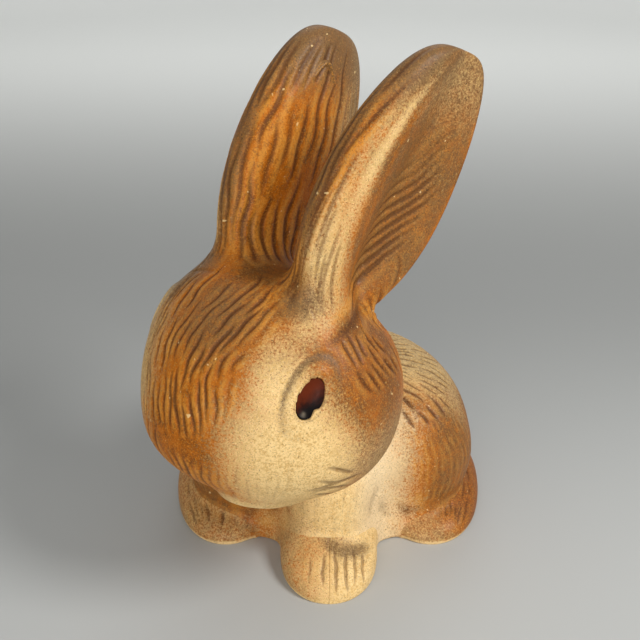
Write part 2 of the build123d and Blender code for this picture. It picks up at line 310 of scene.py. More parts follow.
def strongest(*masks):
    """The greatest of several masks, place by place."""
    return functools.reduce(np.maximum, masks)


def full_turn(count):
    """Angles in even steps once round, without the last, which is the first again."""
    return np.linspace(0, FULL_TURN, count + 1)[:-1]


def smaller(a, b, radius):
    """The smaller of two distances, rounded where they differ by less than the radius: the
    corner is lowered by the square of what is left, over four radii."""
    left = np.maximum(radius - np.abs(a - b), 0)
    return np.minimum(a, b) - left * left / (4 * radius)


def larger(a, b, radius):
    """The larger of two distances, rounded in the same way."""
    return -smaller(-a, -b, radius)


def turned(axis, degrees):
    """The matrix of a turn about a main axis, anticlockwise seen from the axis's tip."""
    i, j = [(1, 2), (2, 0), (0, 1)][axis]
    matrix = np.eye(3)
    c, s = math.cos(math.radians(degrees)), math.sin(math.radians(degrees))
    matrix[i, i], matrix[i, j], matrix[j, i], matrix[j, j] = c, -s, s, c
    return matrix


def unit(vectors):
    """Vectors at length 1."""
    return vectors / np.maximum(np.linalg.norm(vectors, axis=-1, keepdims=True), TINY)


def outside_by(across, upwards, corner_share, distance):
    """How far a point lies outside a rounded outline, along the line from its centre. Across and
    upwards are shares of the half sizes; the level, 1 on the outline, is the root of their
    powers, and the outline is at the distance over the level."""
    power = 2 / corner_share
    level = (np.abs(across) ** power + np.abs(upwards) ** power) ** (1 / power)
    return distance * (1 - 1 / np.maximum(level, TINY))


def clearance(measure, points):
    """The distance of points from a form: its measure over the measure's slope, from small steps."""
    value = measure(points)
    slope = np.stack([(measure(points + move) - value) / PROBE for move in np.eye(3) * PROBE], -1)
    return value / np.maximum(np.linalg.norm(slope, axis=-1), TINY)


def facing(measure, point):
    """The direction straight out of a form at a point on its skin."""
    slope = [measure(point + move) - measure(point - move) for move in np.eye(3) * PROBE]
    return unit(np.array(slope).reshape(3))


def cast(measure, origins, directions, reach):
    """Where rays from inside a form meet its skin: the interval from 0 to the reach is halved on
    the side where the measure changes sign."""
    near = np.zeros(np.broadcast_shapes(origins.shape, directions.shape)[:-1])
    far = near + reach
    for _ in range(HALVINGS):
        middle = (near + far) / 2
        inside = measure(origins + directions * middle[..., None]) < 0
        near = np.where(inside, middle, near)
        far = np.where(inside, far, middle)
    return origins + directions * near[..., None]


def even_steps(values, path, count):
    """Values at which a path, known at the given values, is divided into even lengths."""
    lengths = np.concatenate(([0], np.cumsum(np.linalg.norm(np.diff(path, axis=0), axis=-1))))
    return np.interp(np.linspace(0, lengths[-1], count), lengths, values)


def grid_normals(points):
    """Outward normals of a closed grid whose first and last rows are poles: the cross product of
    the steps down the rows and round the columns, turned outwards where the sum of its products
    with the places is negative. Returns the normals and that sign."""
    down = np.gradient(points, axis=0)
    around = (np.roll(points, -1, 1) - np.roll(points, 1, 1)) / 2
    normals = np.cross(down, around)
    sign = 1 if np.sum((points - points.mean((0, 1))) * normals) > 0 else -1
    normals[0] = normals[1].mean(0)
    normals[-1] = normals[-2].mean(0)
    return unit(normals * sign), sign


def read_grid(grid, rows, columns):
    """Places on a grid at fractions of its rows and of its turn of columns, between the four
    nearest points."""
    r = np.clip(rows, 0, 1) * (len(grid) - 1)
    c = np.mod(columns, 1) * grid.shape[1]
    i = np.minimum(r.astype(int), len(grid) - 2)
    j = c.astype(int) % grid.shape[1]
    k = (j + 1) % grid.shape[1]
    s, t = (r - i)[..., None], (c - np.floor(c))[..., None]
    above = grid[i, j] * (1 - t) + grid[i, k] * t
    below = grid[i + 1, j] * (1 - t) + grid[i + 1, k] * t
    return above * (1 - s) + below * s


def turn_share(around, columns):
    """Where angles in degrees lie in a grid's turn of columns, as shares of it."""
    turn = np.mod(np.radians(around), FULL_TURN)
    return np.interp(turn, np.append(columns, FULL_TURN), np.linspace(0, 1, len(columns) + 1))


# Forms: each measure is below 0 inside, 0 on the skin and above 0 outside


HEAD_MATRIX = turned(2, -HEAD_TURN) @ turned(0, -HEAD_TIP) @ turned(1, HEAD_TILT)
HEAD_LEFT = HEAD_MATRIX @ np.array([1.0, 0, 0])
HEAD_AHEAD = HEAD_MATRIX @ np.array([0, -1.0, 0])
HEAD_UP = HEAD_MATRIX @ np.array([0, 0, 1.0])
HEAD_FRAME = np.stack([HEAD_LEFT, HEAD_AHEAD, HEAD_UP])
HEAD_CENTRE = np.array(
    [
        -HEAD_SIDE_SHIFT,
        BODY_SET_BACK - BODY_FRONT_DEPTH - HEAD_LEAD,
        BODY_HEIGHT * NECK_HEIGHT_SHARE + HEAD_JAW,
    ]
)


def head_measure(points):
    """The head's egg. The share along it is the angle whose cosine is the place ahead; there its
    section is a rounded outline with its own half width, crown and jaw. The chin is softly
    flattened on the rabbit's left."""
    left, ahead, up = np.moveaxis((points - HEAD_CENTRE) @ HEAD_FRAME.T, -1, 0)
    along = np.arccos(np.clip(ahead / HEAD_REACH, -1, 1)) / math.pi
    swell = np.sin(along * math.pi) + TINY
    up = up + HEAD_JAW * read_shares(HEAD_DROP_SHARES, along)
    half_width = HEAD_HALF_WIDTH * read_shares(HEAD_WIDTH_SHARES, along) * swell
    crown = HEAD_CROWN * read_shares(HEAD_CROWN_SHARES, along) * swell
    jaw = HEAD_JAW * read_shares(HEAD_JAW_SHARES, along) * swell
    rise = np.where(up > 0, crown, jaw)
    azimuth, elevation = head_angles(points)
    flat = CHIN_FLAT * bell(azimuth, CHIN_AZIMUTH, CHIN_SPREAD) * bell(elevation, CHIN_ELEVATION, CHIN_RISE)
    return outside_by(left / half_width, up / rise, HEAD_CORNER_SHARE, np.hypot(left, up)) + flat


@functools.lru_cache
def head_radii():
    """The head's radius for each whole degree of azimuth and elevation."""
    azimuth, elevation = np.meshgrid(np.arange(-180, 181), np.arange(-90, 91))
    directions = head_direction(azimuth, elevation)
    return np.linalg.norm(cast(head_measure, HEAD_CENTRE, directions, HEAD_RAY) - HEAD_CENTRE, axis=-1)


def head_distance(points):
    """A measure of the head that is even far from it: the distance from its centre less the
    radius in that direction, read between whole degrees."""
    azimuth, elevation = head_angles(points)
    radii = head_radii()
    i, j = np.minimum((elevation + 90).astype(int), 179), np.minimum((azimuth + 180).astype(int), 359)
    s, t = elevation + 90 - i, azimuth + 180 - j
    low = radii[i, j] * (1 - t) + radii[i, j + 1] * t
    high = radii[i + 1, j] * (1 - t) + radii[i + 1, j + 1] * t
    return np.linalg.norm(points - HEAD_CENTRE, axis=-1) - low * (1 - s) - high * s


def ear_joint_radius(points, joint):
    """Radius of the joint of ear and head: full in front, less than half behind."""
    ahead = (points - HEAD_CENTRE) @ HEAD_AHEAD
    return joint * (0.4 + 0.6 * ease(-36, 2, ahead))


def head_direction(azimuth, elevation):
    """Directions from the head's centre, for angles in degrees from the nose and from level."""
    a, e = np.radians(azimuth), np.radians(elevation)
    local = np.stack([np.sin(a) * np.cos(e), np.cos(a) * np.cos(e), np.sin(e) + 0 * a], -1)
    return local @ HEAD_FRAME


def head_angles(points):
    """Azimuth and elevation, in degrees, of points seen from the head's centre."""
    left, ahead, up = np.moveaxis((points - HEAD_CENTRE) @ HEAD_FRAME.T, -1, 0)
    return np.degrees(np.arctan2(left, ahead)), np.degrees(np.arctan2(up, np.hypot(left, ahead)))


class Ear:
    """One ear: a rib from its root to its tip, a front towards its rim and an outward facing."""

    def __init__(self, side, length, front_width, rear_width, splay, twist, root_share):
        self.side = side
        self.length = length
        self.front_width = front_width
        self.rear_width = rear_width
        level_ahead = turned(2, -HEAD_TURN) @ np.array([0, -1.0, 0])
        level_side = turned(2, -HEAD_TURN) @ np.array([side, 0.0, 0])
        sweep, spread, turn = (math.radians(angle) for angle in (EAR_SWEEP, splay, twist))
        upright = np.array([0, 0, 1.0]) * math.cos(sweep) - level_ahead * math.sin(sweep)
        self.rib = upright * math.cos(spread) + level_side * math.sin(spread)
        outward = level_side * math.cos(turn) + level_ahead * math.sin(turn)
        self.outward = unit(outward - self.rib * (outward @ self.rib))
        self.front = np.cross(self.outward, self.rib) * side
        self.root = (
            HEAD_CENTRE
            - HEAD_AHEAD * (HEAD_REACH * EAR_ROOT_BACK_SHARE)
            + HEAD_LEFT * (side * HEAD_HALF_WIDTH * root_share)
            + HEAD_UP * (HEAD_CROWN * EAR_ROOT_HEIGHT_SHARE)
        )

    def section(self, along, front):
        """Half width to the front and rear, and height of the outer and inner faces before they
        are closed to an ellipse, at a share of the rib and of the half width."""
        end = (1 - np.clip(along, 0, 1) ** 2 + TINY) ** (EAR_END_SHARE / 2)
        width = end * read_shares(EAR_WIDTH_SHARES, along)
        rear = self.rear_width * width * read_shares(EAR_REAR_SHARES, along)
        hollow = bell(front, EAR_DISH_MIDDLE_SHARE, EAR_DISH_SPREAD_SHARE)
        rim = EAR_RIM_THICKNESS * read_shares(EAR_RIM_SHARES, along)
        rim = rim * (1 - EAR_RIM_LEAN_SHARE * (1 - front))
        outer = end * (rim - EAR_DISH_DEPTH * read_shares(EAR_DISH_SHARES, along) * hollow)
        inner = EAR_INNER_THICKNESS * end * read_shares(EAR_INNER_SHARES, along)
        return self.front_width * width, rear, outer, inner * (1 + EAR_INNER_LEAN_SHARE * front)

    def skin(self, along, around):
        """The ear's skin: at a share of the rib, the section's point at an angle from the front
        rim, over the outer face first."""
        front = np.cos(around)
        ahead, rear, outer, inner = self.section(along, front)
        x = front * np.where(front > 0, ahead, rear)
        y = np.abs(np.sin(around)) * np.where(np.sin(around) > 0, outer, -inner)
        middle = self.root + self.rib * (self.length * along)[..., None]
        bend = (EAR_BEND * along**2)[..., None] * self.front
        return middle - bend + self.front * x[..., None] + self.outward * y[..., None]

    def measure(self, points):
        """The ear's leaf: at a share of the rib, its level is the root of the squares of the
        share across and of the height over the face's height there."""
        offset = points - self.root
        along = offset @ self.rib / self.length
        x = offset @ self.front + EAR_BEND * np.clip(along, 0, 1) ** 2
        y = offset @ self.outward
        ahead, rear, _, _ = self.section(along, 0 * along)
        front = np.clip(x / np.where(x > 0, ahead, rear), -1.5, 1.5)
        _, _, outer, inner = self.section(along, np.clip(front, -1, 1))
        level = np.hypot(front, y / np.where(y > 0, outer, inner))
        return np.hypot(x, y) * (1 - 1 / np.maximum(level, TINY))


EARS = {
    "left": Ear(1, 127.0, front_width=34.7, rear_width=29.3, splay=5.5, twist=10.0, root_share=0.43),
    "right": Ear(-1, 122.5, front_width=31.4, rear_width=33.0, splay=4.0, twist=-2.0, root_share=0.38),
}


def body_measure(points):
    """The body: the dome, whose share of height is the arcsine of the height, joined smoothly to
    the chest, whose outline is a rounded block that leans back as it rises."""
    x, y, z = np.moveaxis(points, -1, 0)
    along = np.arcsin(np.clip(z / BODY_HEIGHT, 0, 1)) / QUARTER
    back = y - BODY_SET_BACK
    half_width = BODY_HALF_WIDTH * read_shares(BODY_WIDTH_SHARES, along) + TINY
    behind = BODY_BACK_DEPTH * read_shares(BODY_BACK_SHARES, along) + TINY
    before = BODY_FRONT_DEPTH * read_shares(BODY_FRONT_SHARES, along) + TINY
    corner = np.where(back > 0, BODY_RUMP_SHARE, BODY_HAUNCH_SHARE)
    depth = np.where(back > 0, behind, before)
    dome = outside_by(x / half_width, back / depth, corner, np.hypot(x, back))
    top = BODY_HEIGHT * CHEST_TOP_SHARE
    lead = CHEST_LEAD * read_shares(CHEST_LEAD_SHARES, z / top)
    half_depth = (BODY_FRONT_DEPTH + lead) / 2
    ahead = back + half_depth
    chest = outside_by(x / CHEST_HALF_WIDTH, ahead / half_depth, CHEST_CORNER_SHARE, np.hypot(x, ahead))
    return smaller(dome, larger(chest, z - top, CHEST_TOP_ROUND), CHEST_JOINT)


@dataclasses.dataclass
class Lobe:
    """A low form on the floor, from its toe to its heel, with an arched section."""

    half_width: float
    height: float
    toe_y: float
    heel_y: float
    width_shares: list
    height_shares: list
    middle_x: float = 0.0
    toe_in: float = 0.0

    def sizes(self, along):
        """Half width, height and middle of the section at a share from toe to heel."""
        swell = np.sin(np.clip(along, 0, 1) * math.pi) ** LOBE_END_SHARE + TINY
        width = self.half_width * read_shares(self.width_shares, along) * swell
        rise = self.height * read_shares(self.height_shares, along) * swell
        y = (self.toe_y + self.heel_y) / 2 - (self.heel_y - self.toe_y) / 2 * np.cos(along * math.pi)
        middle = self.middle_x + self.toe_in * (y - self.toe_y) / (self.heel_y - self.toe_y)
        return width, rise, middle, y

    def measure(self, points):
        """The arch: the square of the share across, and the power of the share of height above
        the widest line, add up to 1 on the skin. The floor cuts it off with a small round."""
        x, y, z = np.moveaxis(points, -1, 0)
        place = ((self.toe_y + self.heel_y) / 2 - y) / ((self.heel_y - self.toe_y) / 2)
        along = np.arccos(np.clip(place, -1, 1)) / math.pi
        width, rise, middle, _ = self.sizes(along)
        lift = (z / rise - LOBE_FLOOR_SHARE) / (1 - LOBE_FLOOR_SHARE)
        across = (x - middle) / width
        level = np.sqrt(across**2 + np.abs(lift) ** (2 / LOBE_CORNER_SHARE))
        distance = np.hypot(x - middle, z - LOBE_FLOOR_SHARE * rise)
        arch = distance * (1 - 1 / np.maximum(level, TINY))
        return larger(arch, -z, LOBE_FLOOR_ROUND)


SIDES = {"left": 1, "right": -1}
CHEST_FRONT_Y = BODY_SET_BACK - BODY_FRONT_DEPTH - CHEST_LEAD
PAWS = Lobe(
    PAW_HALF_WIDTH,
    PAW_HEIGHT,
    CHEST_FRONT_Y - PAW_LEAD,
    CHEST_FRONT_Y + PAW_TUCK + PAW_LEAD,
    PAW_WIDTH_SHARES,
    PAW_HEIGHT_SHARES,
)
FEET = {
    name: Lobe(
        FOOT_HALF_WIDTH,
        FOOT_HEIGHT,
        BODY_SET_BACK - BODY_FRONT_DEPTH - FOOT_TOE_LEAD,
        BODY_SET_BACK + FOOT_HEEL_DEPTH,
        FOOT_WIDTH_SHARES,
        FOOT_HEIGHT_SHARES,
        side * BODY_HALF_WIDTH * FOOT_SPREAD_SHARE,
        side * FOOT_TOE_IN,
    )
    for name, side in SIDES.items()
}
TAIL_Y = BODY_SET_BACK + BODY_BACK_DEPTH + TAIL_RADIUS * TAIL_SINK_SHARE
TAIL_CENTRE = np.array([0, TAIL_Y, BODY_HEIGHT * TAIL_HEIGHT_SHARE])


def paw_measure(side, points):
    """One forepaw: the half of the lobe on its side, with a rounded edge at the parting."""
    return larger(PAWS.measure(points), PAW_PARTING / 2 - side * points[..., 0], PARTING_ROUND)


def tail_measure(points):
    """The tail's ball."""
    return np.linalg.norm(points - TAIL_CENTRE, axis=-1) - TAIL_RADIUS


def joined(points, normals, neighbours):
    """A form's skin, moved out along its normals to a rolled joint with its neighbours. With g
    the skin's height less the neighbour's distance, the height is the square of radius plus g
    over four radii on its own side, and past the middle of the joint a parabola that goes down
    under the neighbour. A radius is a length or a function of the points."""
    flat, out = points.reshape(-1, 3), normals.reshape(-1, 3)
    rise = np.zeros(len(flat))
    near = []
    for measure, radius in neighbours:
        radii = radius(flat) if callable(radius) else np.full(len(flat), radius)
        chosen = np.flatnonzero(np.abs(clearance(measure, flat)) < JOINT_REACH_SHARE * radii)
        near.append((measure, radii[chosen], chosen))
    for _ in range(JOINT_ROUNDS):
        lift = np.zeros(len(flat))
        for measure, radii, chosen in near:
            at = flat[chosen] + out[chosen] * rise[chosen, None]
            gap = rise[chosen] - clearance(measure, at)
            own = np.maximum(radii + gap, 0) ** 2 / (4 * radii)
            under = radii / 4 + gap / 2 - gap**2 / radii
            lift[chosen] = np.maximum(lift[chosen], np.where(gap > 0, np.maximum(under, 0), own))
        rise = lift
    return (flat + out * rise[:, None]).reshape(points.shape)


# Combed lines: each stroke is a line of points on the skin, its half width and its depth


def lane(random, index, wave):
    """The sway of one lane of combed hair, by the place along it: a slow wave that neighbouring
    lanes nearly share and a quicker one of its own."""
    shared, own = 0.6 * index, random.uniform(0, FULL_TURN)
    length = wave * random.uniform(0.9, 1.1)

    def sway(place):
        turn = FULL_TURN * place / length
        return 0.65 * np.sin(turn + shared) + 0.35 * np.sin(2.3 * turn + own)

    return sway


def lanes(random, starts, wave):
    """Lanes side by side, one at a time: the number, the start and the sway of each."""
    for index, start in enumerate(starts):
        yield index, start, lane(random, index, wave)


def comb(random, trace, first, last, span, half_width, depth):
    """Strokes one after another along a lane, of random lengths about the span and with short
    gaps between them. The trace turns places along the lane into points of the skin."""
    strokes = []
    at = first + random.uniform(0.0, 0.5) * span
    while at < last - 0.4 * span:
        stop = min(at + span * random.uniform(0.6, 1.5), last)
        line = trace(np.linspace(at, stop, 26))
        width, cut = half_width * random.uniform(0.8, 1.2), depth * random.uniform(0.7, 1.1)
        strokes.append((line, width, cut))
        at = stop + span * random.uniform(0.03, 0.16)
    return strokes


def carve(points, strokes):
    """Depth and ridge share of the strokes at each point. Across a stroke the depth is the square
    of 1 less the square of the distance over the half width, fading at both ends; the ridge
    beside it is a wide bell, two half widths away. A depth below zero is a raised fold, with its
    ridge on the line."""
    flat = points.reshape(-1, 3)
    depths, ridges = np.zeros(len(flat)), np.zeros(len(flat))
    for line, half_width, depth in strokes:
        low, high = line.min(0) - 3 * half_width, line.max(0) + 3 * half_width
        chosen = np.flatnonzero(np.all((flat > low) & (flat < high), axis=1))
        if not len(chosen):
            continue
        start, step = line[:-1], np.diff(line, axis=0)
        offset = flat[chosen, None] - start
        share = np.clip(np.sum(offset * step, -1) / np.maximum(np.sum(step * step, -1), TINY), 0, 1)
        distances = np.linalg.norm(offset - share[..., None] * step, axis=-1)
        best = np.argmin(distances, 1)
        rows = np.arange(len(chosen))
        place = (best + share[rows, best]) / len(step)
        fade = np.sqrt(np.sin(math.pi * np.clip(place, 0, 1)))
        across = distances[rows, best] / half_width / (0.55 + 0.45 * fade)
        cut = depth * fade * np.clip(1 - across**2, 0, 1) ** 2
        depths[chosen] = np.where(np.abs(cut) > np.abs(depths[chosen]), cut, depths[chosen])
        crest = 0.0 if depth < 0 else 2.0
        ridges[chosen] = np.maximum(ridges[chosen], fade * bell(across, crest, 1.0))
    return depths.reshape(points.shape[:-1]), ridges.reshape(points.shape[:-1])


def upper_measure(points):
    """Head and ears as one form with smooth joints."""
    value = head_distance(points)
    for ear in EARS.values():
        value = smaller(value, ear.measure(points), ear_joint_radius(points, EAR_JOINT))
    return value


def head_line(azimuths, elevations):
    """A line on the skin of head and ears, through directions from the head's centre."""
    return cast(upper_measure, HEAD_CENTRE, head_direction(azimuths, elevations), HEAD_RAY)


# Azimuths and elevations of combed lines down the head, each from the crown to the muzzle
COMBED_LINES = (
    ((-92, 62), (-60, 48), (-45, 28), (-36, 8), (-30, -12)),
    ((-72, 60), (-49, 43), (-37, 24), (-27, 8), (-20, -9)),
    ((-55, 57), (-40, 38), (-30, 21), (-19, 7), (-10, -7)),
    ((-55, 68), (-28, 46), (-19, 27), (-10, 10), (-3, -5)),
    ((-34, 76), (-13, 54), (-11, 31), (-3, 13), (4, -5)),
    ((-21, 82), (5, 57), (-1, 33), (4, 14), (12, -6)),
    ((54, 86), (24, 56), (11, 36), (12, 19), (18, -3)),
    ((80, 77), (37, 57), (22, 41), (19, 22), (24, 3)),
    ((66, 62), (44, 50), (33, 36), (30, 25), (31, 9)),
)


def combed(lane_number, place):
    """Directions along a lane between two neighbouring combed lines, at shares of the way down;
    each is the one curve of the fourth degree through the line's five directions."""
    knots = head_direction(*np.moveaxis(np.array(COMBED_LINES, float), -1, 0))
    lane_number = np.clip(lane_number, 0, len(knots) - 1.001)
    before = lane_number.astype(int)
    share = (lane_number - before)[:, None, None]
    line = knots[before] * (1 - share) + knots[before + 1] * share
    nodes = np.arange(5) / 4
    weights = []
    for node in nodes:
        others = nodes[nodes != node][:, None]
        weights.append(np.prod((place - others) / (node - others), axis=0))
    return unit(np.einsum("kn,nkc->nc", np.array(weights), line))


@functools.lru_cache
def head_strokes(half_width, depth):
    """Combed lines of the head: from the crown over the brow, down the muzzle and the cheeks,
    behind the eyes and down the nape; then the wrinkles on the jowls, and the soft crease from
    the left ear's base past the eye. A degree is about a millimetre of the head's skin."""
    random = np.random.default_rng(SEEDS["head"])
    strokes = []
    for index, start, sway in lanes(random, np.arange(0.0, 8.1, 0.52), 42.0):

        def brow(place):
            return cast(upper_measure, HEAD_CENTRE, combed(start + 0.13 * sway(place), place / 100), HEAD_RAY)

        faint = 0.45 + 0.55 * ease(8.2, 6.6, start) * ease(-1.0, 1.5, start)
        strokes += comb(random, brow, (0.0, 9.0)[index % 2], 98.0, 30.0, half_width, depth * faint)
    for index, start, sway in lanes(random, np.arange(-22, 60, 4.1), 34.0):

        def muzzle(place):
            return head_line(start + 0.9 * sway(place), -1 - place)

        cut = depth * (0.95, 0.7)[index % 2] * (1 - 0.62 * ease(14, 36, start))
        strokes += comb(random, muzzle, 0.0, 46.0 - 0.2 * abs(start), 30.0, half_width, cut)
    for side in SIDES.values():
        for _, start, sway in lanes(random, np.arange(84, 112, 5.0), 30.0):

            def temple(place):
                return head_line(side * (start + sway(place) + 0.012 * place**2), 45 - place)

            strokes += comb(random, temple, 0.0, 27.0, 14.0, half_width, depth * 1.15)
        for _, start, sway in lanes(random, np.arange(124, 180, 5.5), 38.0):

            def nape(place):
                return head_line(side * (start + 1.2 * sway(place)), 58 - place)

            strokes += comb(random, nape, 0.0, 84.0, 20.0, half_width, depth * 0.75)
        for level, reach in ((-11, 7), (-16, 9), (-20, 13), (-25, 10), (-30, 8)):
            arch = np.linspace(-1, 1, 16)
            line = head_line(side * (78 + reach * arch), level + 2.5 * np.cos(1.6 * arch + level))
            strokes.append((line, half_width * 1.2, depth * 1.25))
    crease = head_line(np.linspace(126, 74, 20), np.linspace(53, 41, 20))
    strokes.append((crease, 3.4, 0.5))
    return strokes


@functools.lru_cache
def ear_skin(name, joint):
    """One ear's skin with its joint to the head: rows at even steps from root to tip, from a pole
    inside the head, and columns at even steps round a section half way up."""
    ear = EARS[name]
    angles = np.linspace(0, QUARTER, PROFILE_STEPS)
    rim = ear.skin(np.sin(angles), 0 * angles)
    along = np.sin(even_steps(angles, rim, EAR_ROWS - 1))
    turns = np.linspace(0, FULL_TURN, EAR_OUTLINE_STEPS)
    around = even_steps(turns, ear.skin(0 * turns + 0.5, turns), EAR_COLUMNS + 1)[:-1]
    grid = ear.skin(along[:, None] + 0 * around, around + 0 * along[:, None])
    grid = np.concatenate([np.broadcast_to(ear.root, (1, EAR_COLUMNS, 3)), grid])
    grid[-1] = grid[-1].mean(0)
    normals, _ = grid_normals(grid)
    grid = joined(grid, normals, [(head_distance, functools.partial(ear_joint_radius, joint=joint))])
    return grid, np.concatenate(([0], along)), around


def ear_line(name, joint, along, around):
    """A line on an ear's skin, through shares of the rib and angles round the section, in
    degrees."""
    grid, rows, columns = ear_skin(name, joint)
    row = np.interp(along, rows[1:], np.linspace(1 / (len(grid) - 1), 1, len(rows) - 1))
    return read_grid(grid, row, turn_share(around, columns))


# Lines on an ear's front: the angle at three tenths of the rib, its change along the whole rib,
# and the shares where the line starts and ends
EAR_FRONT_LINES = (
    (3, 57, 0.31, 0.60),
    (-4, 63, 0.55, 0.86),
    (22, 28, 0.26, 0.62),
    (31, 20, 0.18, 0.46),
    (12, 45, 0.16, 0.50),
    (41, 10, 0.13, 0.40),
    (3, 20, 0.12, 0.32),
    (50, 8, 0.12, 0.36),
    (36, 14, 0.14, 0.30),
)
# A line in an ear's dish, as its share of reach and angle, and the fold near the right ear's tip,
# as shares of the rib and angles
EAR_DISH_LINE = ((-0.3, 72), (0, 88), (0.2, 101), (0.45, 110), (0.7, 117), (1, 127), (1.25, 134))
RIGHT_EAR_FOLD = ((0.80, 297), (0.84, 293), (0.868, 288), (0.862, 280), (0.83, 272), (0.80, 264))


@functools.lru_cache
def ear_strokes(name, joint, half_width, depth):
    """Combed lines of an ear: long wavy ones up its inner face, a few on its front, ones that
    spread out from the foot of its dish, and the raised fold near the right tip."""
    random = np.random.default_rng(SEEDS[f"{name}_ear"])
    length = EARS[name].length
    strokes = []
    for _, start, sway in lanes(random, np.arange(214, 366, 12.6), 52.0):

        def inner_face(place):
            return ear_line(name, joint, place / length, start + 3.6 * sway(place))

        top = length * random.uniform(0.90, 0.98) - 12 * (start < 240)
        cut = depth * (0.4 if start < 240 else 0.85)
        strokes += comb(random, inner_face, 4.0, top, 46.0, half_width * 1.35, cut)
    for start, slope, first, last in EAR_FRONT_LINES:
        along = np.linspace(first, last, 30)
        around = start + slope * (along - 0.3) + 1.5 * np.sin(14 * along + start)
        strokes.append((ear_line(name, joint, along, around), half_width * 1.15, depth * 0.75))
    for index, start in enumerate(np.arange(0.17, 0.62, 0.052)):
        reach = np.linspace(random.uniform(-0.3, -0.1), random.uniform(0.9, 1.25), 34)
        around = np.interp(reach, *zip(*EAR_DISH_LINE)) + 1.5 * np.sin(5 * reach + index)
        faint = 0.85 - 0.45 * ease(0.40, 0.60, start)
        line = ear_line(name, joint, start + 0.20 * reach, around)
        strokes.append((line, half_width * 1.4, depth * faint))
    if name == "right":
        place = np.linspace(0, len(RIGHT_EAR_FOLD) - 1, 26)
        knots = range(len(RIGHT_EAR_FOLD))
        along, around = (np.interp(place, knots, values) for values in zip(*RIGHT_EAR_FOLD))
        strokes.append((ear_line(name, joint, along, around), half_width * 1.2, -depth * 1.8))
    return strokes


def upper_strokes(sizes):
    """All combed lines of head and ears."""
    joint, half_width, depth = sizes.in_millimetres("ear_joint", "groove_width", "groove_depth")
    strokes = list(head_strokes(half_width, depth))
    for name in EARS:
        strokes += ear_strokes(name, joint, half_width, depth)
    return strokes


def level_rays(around):
    """Level directions at angles from the rabbit's left."""
    return np.stack([np.cos(around), np.sin(around), 0 * around], -1)


@functools.lru_cache
def body_skin(joint):
    """The body's skin with its joints to feet, paws and tail. Each row is a level ring, found by
    rays from the body's upright axis; rows take even steps up the back and columns even steps
    round the outline near the floor. The bottom edge is rounded."""
    axis = np.array([0, BODY_SET_BACK, 0.0])
    turns = np.linspace(0, FULL_TURN, BODY_OUTLINE_STEPS)
    girth = axis + np.array([0, 0, BODY_GIRTH_LEVEL])
    outline = cast(body_measure, girth, level_rays(turns), BODY_RAY)
    around = even_steps(turns, outline, BODY_COLUMNS + 1)[:-1]
    rays = level_rays(around)
    angles = np.linspace(0, QUARTER, PROFILE_STEPS)
    depth = BODY_BACK_DEPTH * read_shares(BODY_BACK_SHARES, angles / QUARTER)
    profile = np.stack([depth, BODY_HEIGHT * np.sin(angles)], -1)
    levels = BODY_HEIGHT * np.sin(even_steps(angles, profile, BODY_ROWS))
    origins = axis + np.array([0, 0, 1.0]) * levels[:, None, None]
    grid = cast(body_measure, origins, rays[None] + 0 * origins, BODY_RAY)
    grid[-1] = grid[-1].mean(0)
    normals = grid_normals(np.concatenate([grid[:1], grid]))[0][1:]
    neighbours = [(foot.measure, joint) for foot in FEET.values()]
    neighbours += [(PAWS.measure, joint), (tail_measure, joint)]
    grid = joined(grid, normals, neighbours)
    grid[..., 2] = np.where(levels[:, None] < BODY_EDGE, levels[:, None], grid[..., 2])
    edge = np.maximum(BODY_EDGE - levels, 0)
    inset = BODY_EDGE - np.sqrt(BODY_EDGE**2 - edge**2)
    grid = grid - inset[:, None, None] * rays
    return grid, levels, around, rays


def body_line(joint, levels, around):
    """A line on the body's skin, through heights and angles round it, in degrees from the
    rabbit's left."""
    grid, rows, columns, _ = body_skin(joint)
    row = np.interp(levels, rows, np.linspace(0, 1, len(rows)))
    return read_grid(grid, row, turn_share(around, columns))


@functools.lru_cache
def body_strokes(joint, half_width, depth):
    """Combed lines down the back and the flanks, with a few fine ones on the chest, and soft
    dents where the haunch meets the chest."""
    random = np.random.default_rng(SEEDS["body"])
    reach = BODY_HEIGHT * 1.5
    strokes = []
    for index, start, sway in lanes(random, np.arange(-46, 226, 3.1), 44.0):

        def down(place):
            share = 0.96 - place / reach
            levels = BODY_HEIGHT * np.sin(np.clip(share, 0.02, 1) * QUARTER)
            return body_line(joint, levels, start + (0.8 + 1.4 * ease(0.5, 0.8, share)) * sway(place))

        first = (0.36, 0.44, 0.40, 0.48)[index % 4] * reach
        strokes += comb(random, down, first, 0.82 * reach, 17.0, half_width * 0.65, depth * 0.28)
        if index % 2:
            strokes += comb(random, down, 0.05 * reach, 0.40 * reach, 15.0, half_width, depth * 1.1)
    for start in (-101, -95, -84, -78):
        levels = np.linspace(random.uniform(44, 50), random.uniform(24, 32), 16)
        line = body_line(joint, levels, start + np.sin(levels / 6))
        strokes.append((line, half_width, depth * 0.3))
    for side in SIDES.values():
        for start, low, high in ((23, 20, 36), (31, 12, 27), (40, 9, 22)):
            levels = np.linspace(high, low, 16)
            around = -90 + side * (start + 3 * np.sin(levels / 5))
            strokes.append((body_line(joint, levels, around), half_width * 3.4, depth * 0.45))
    return strokes


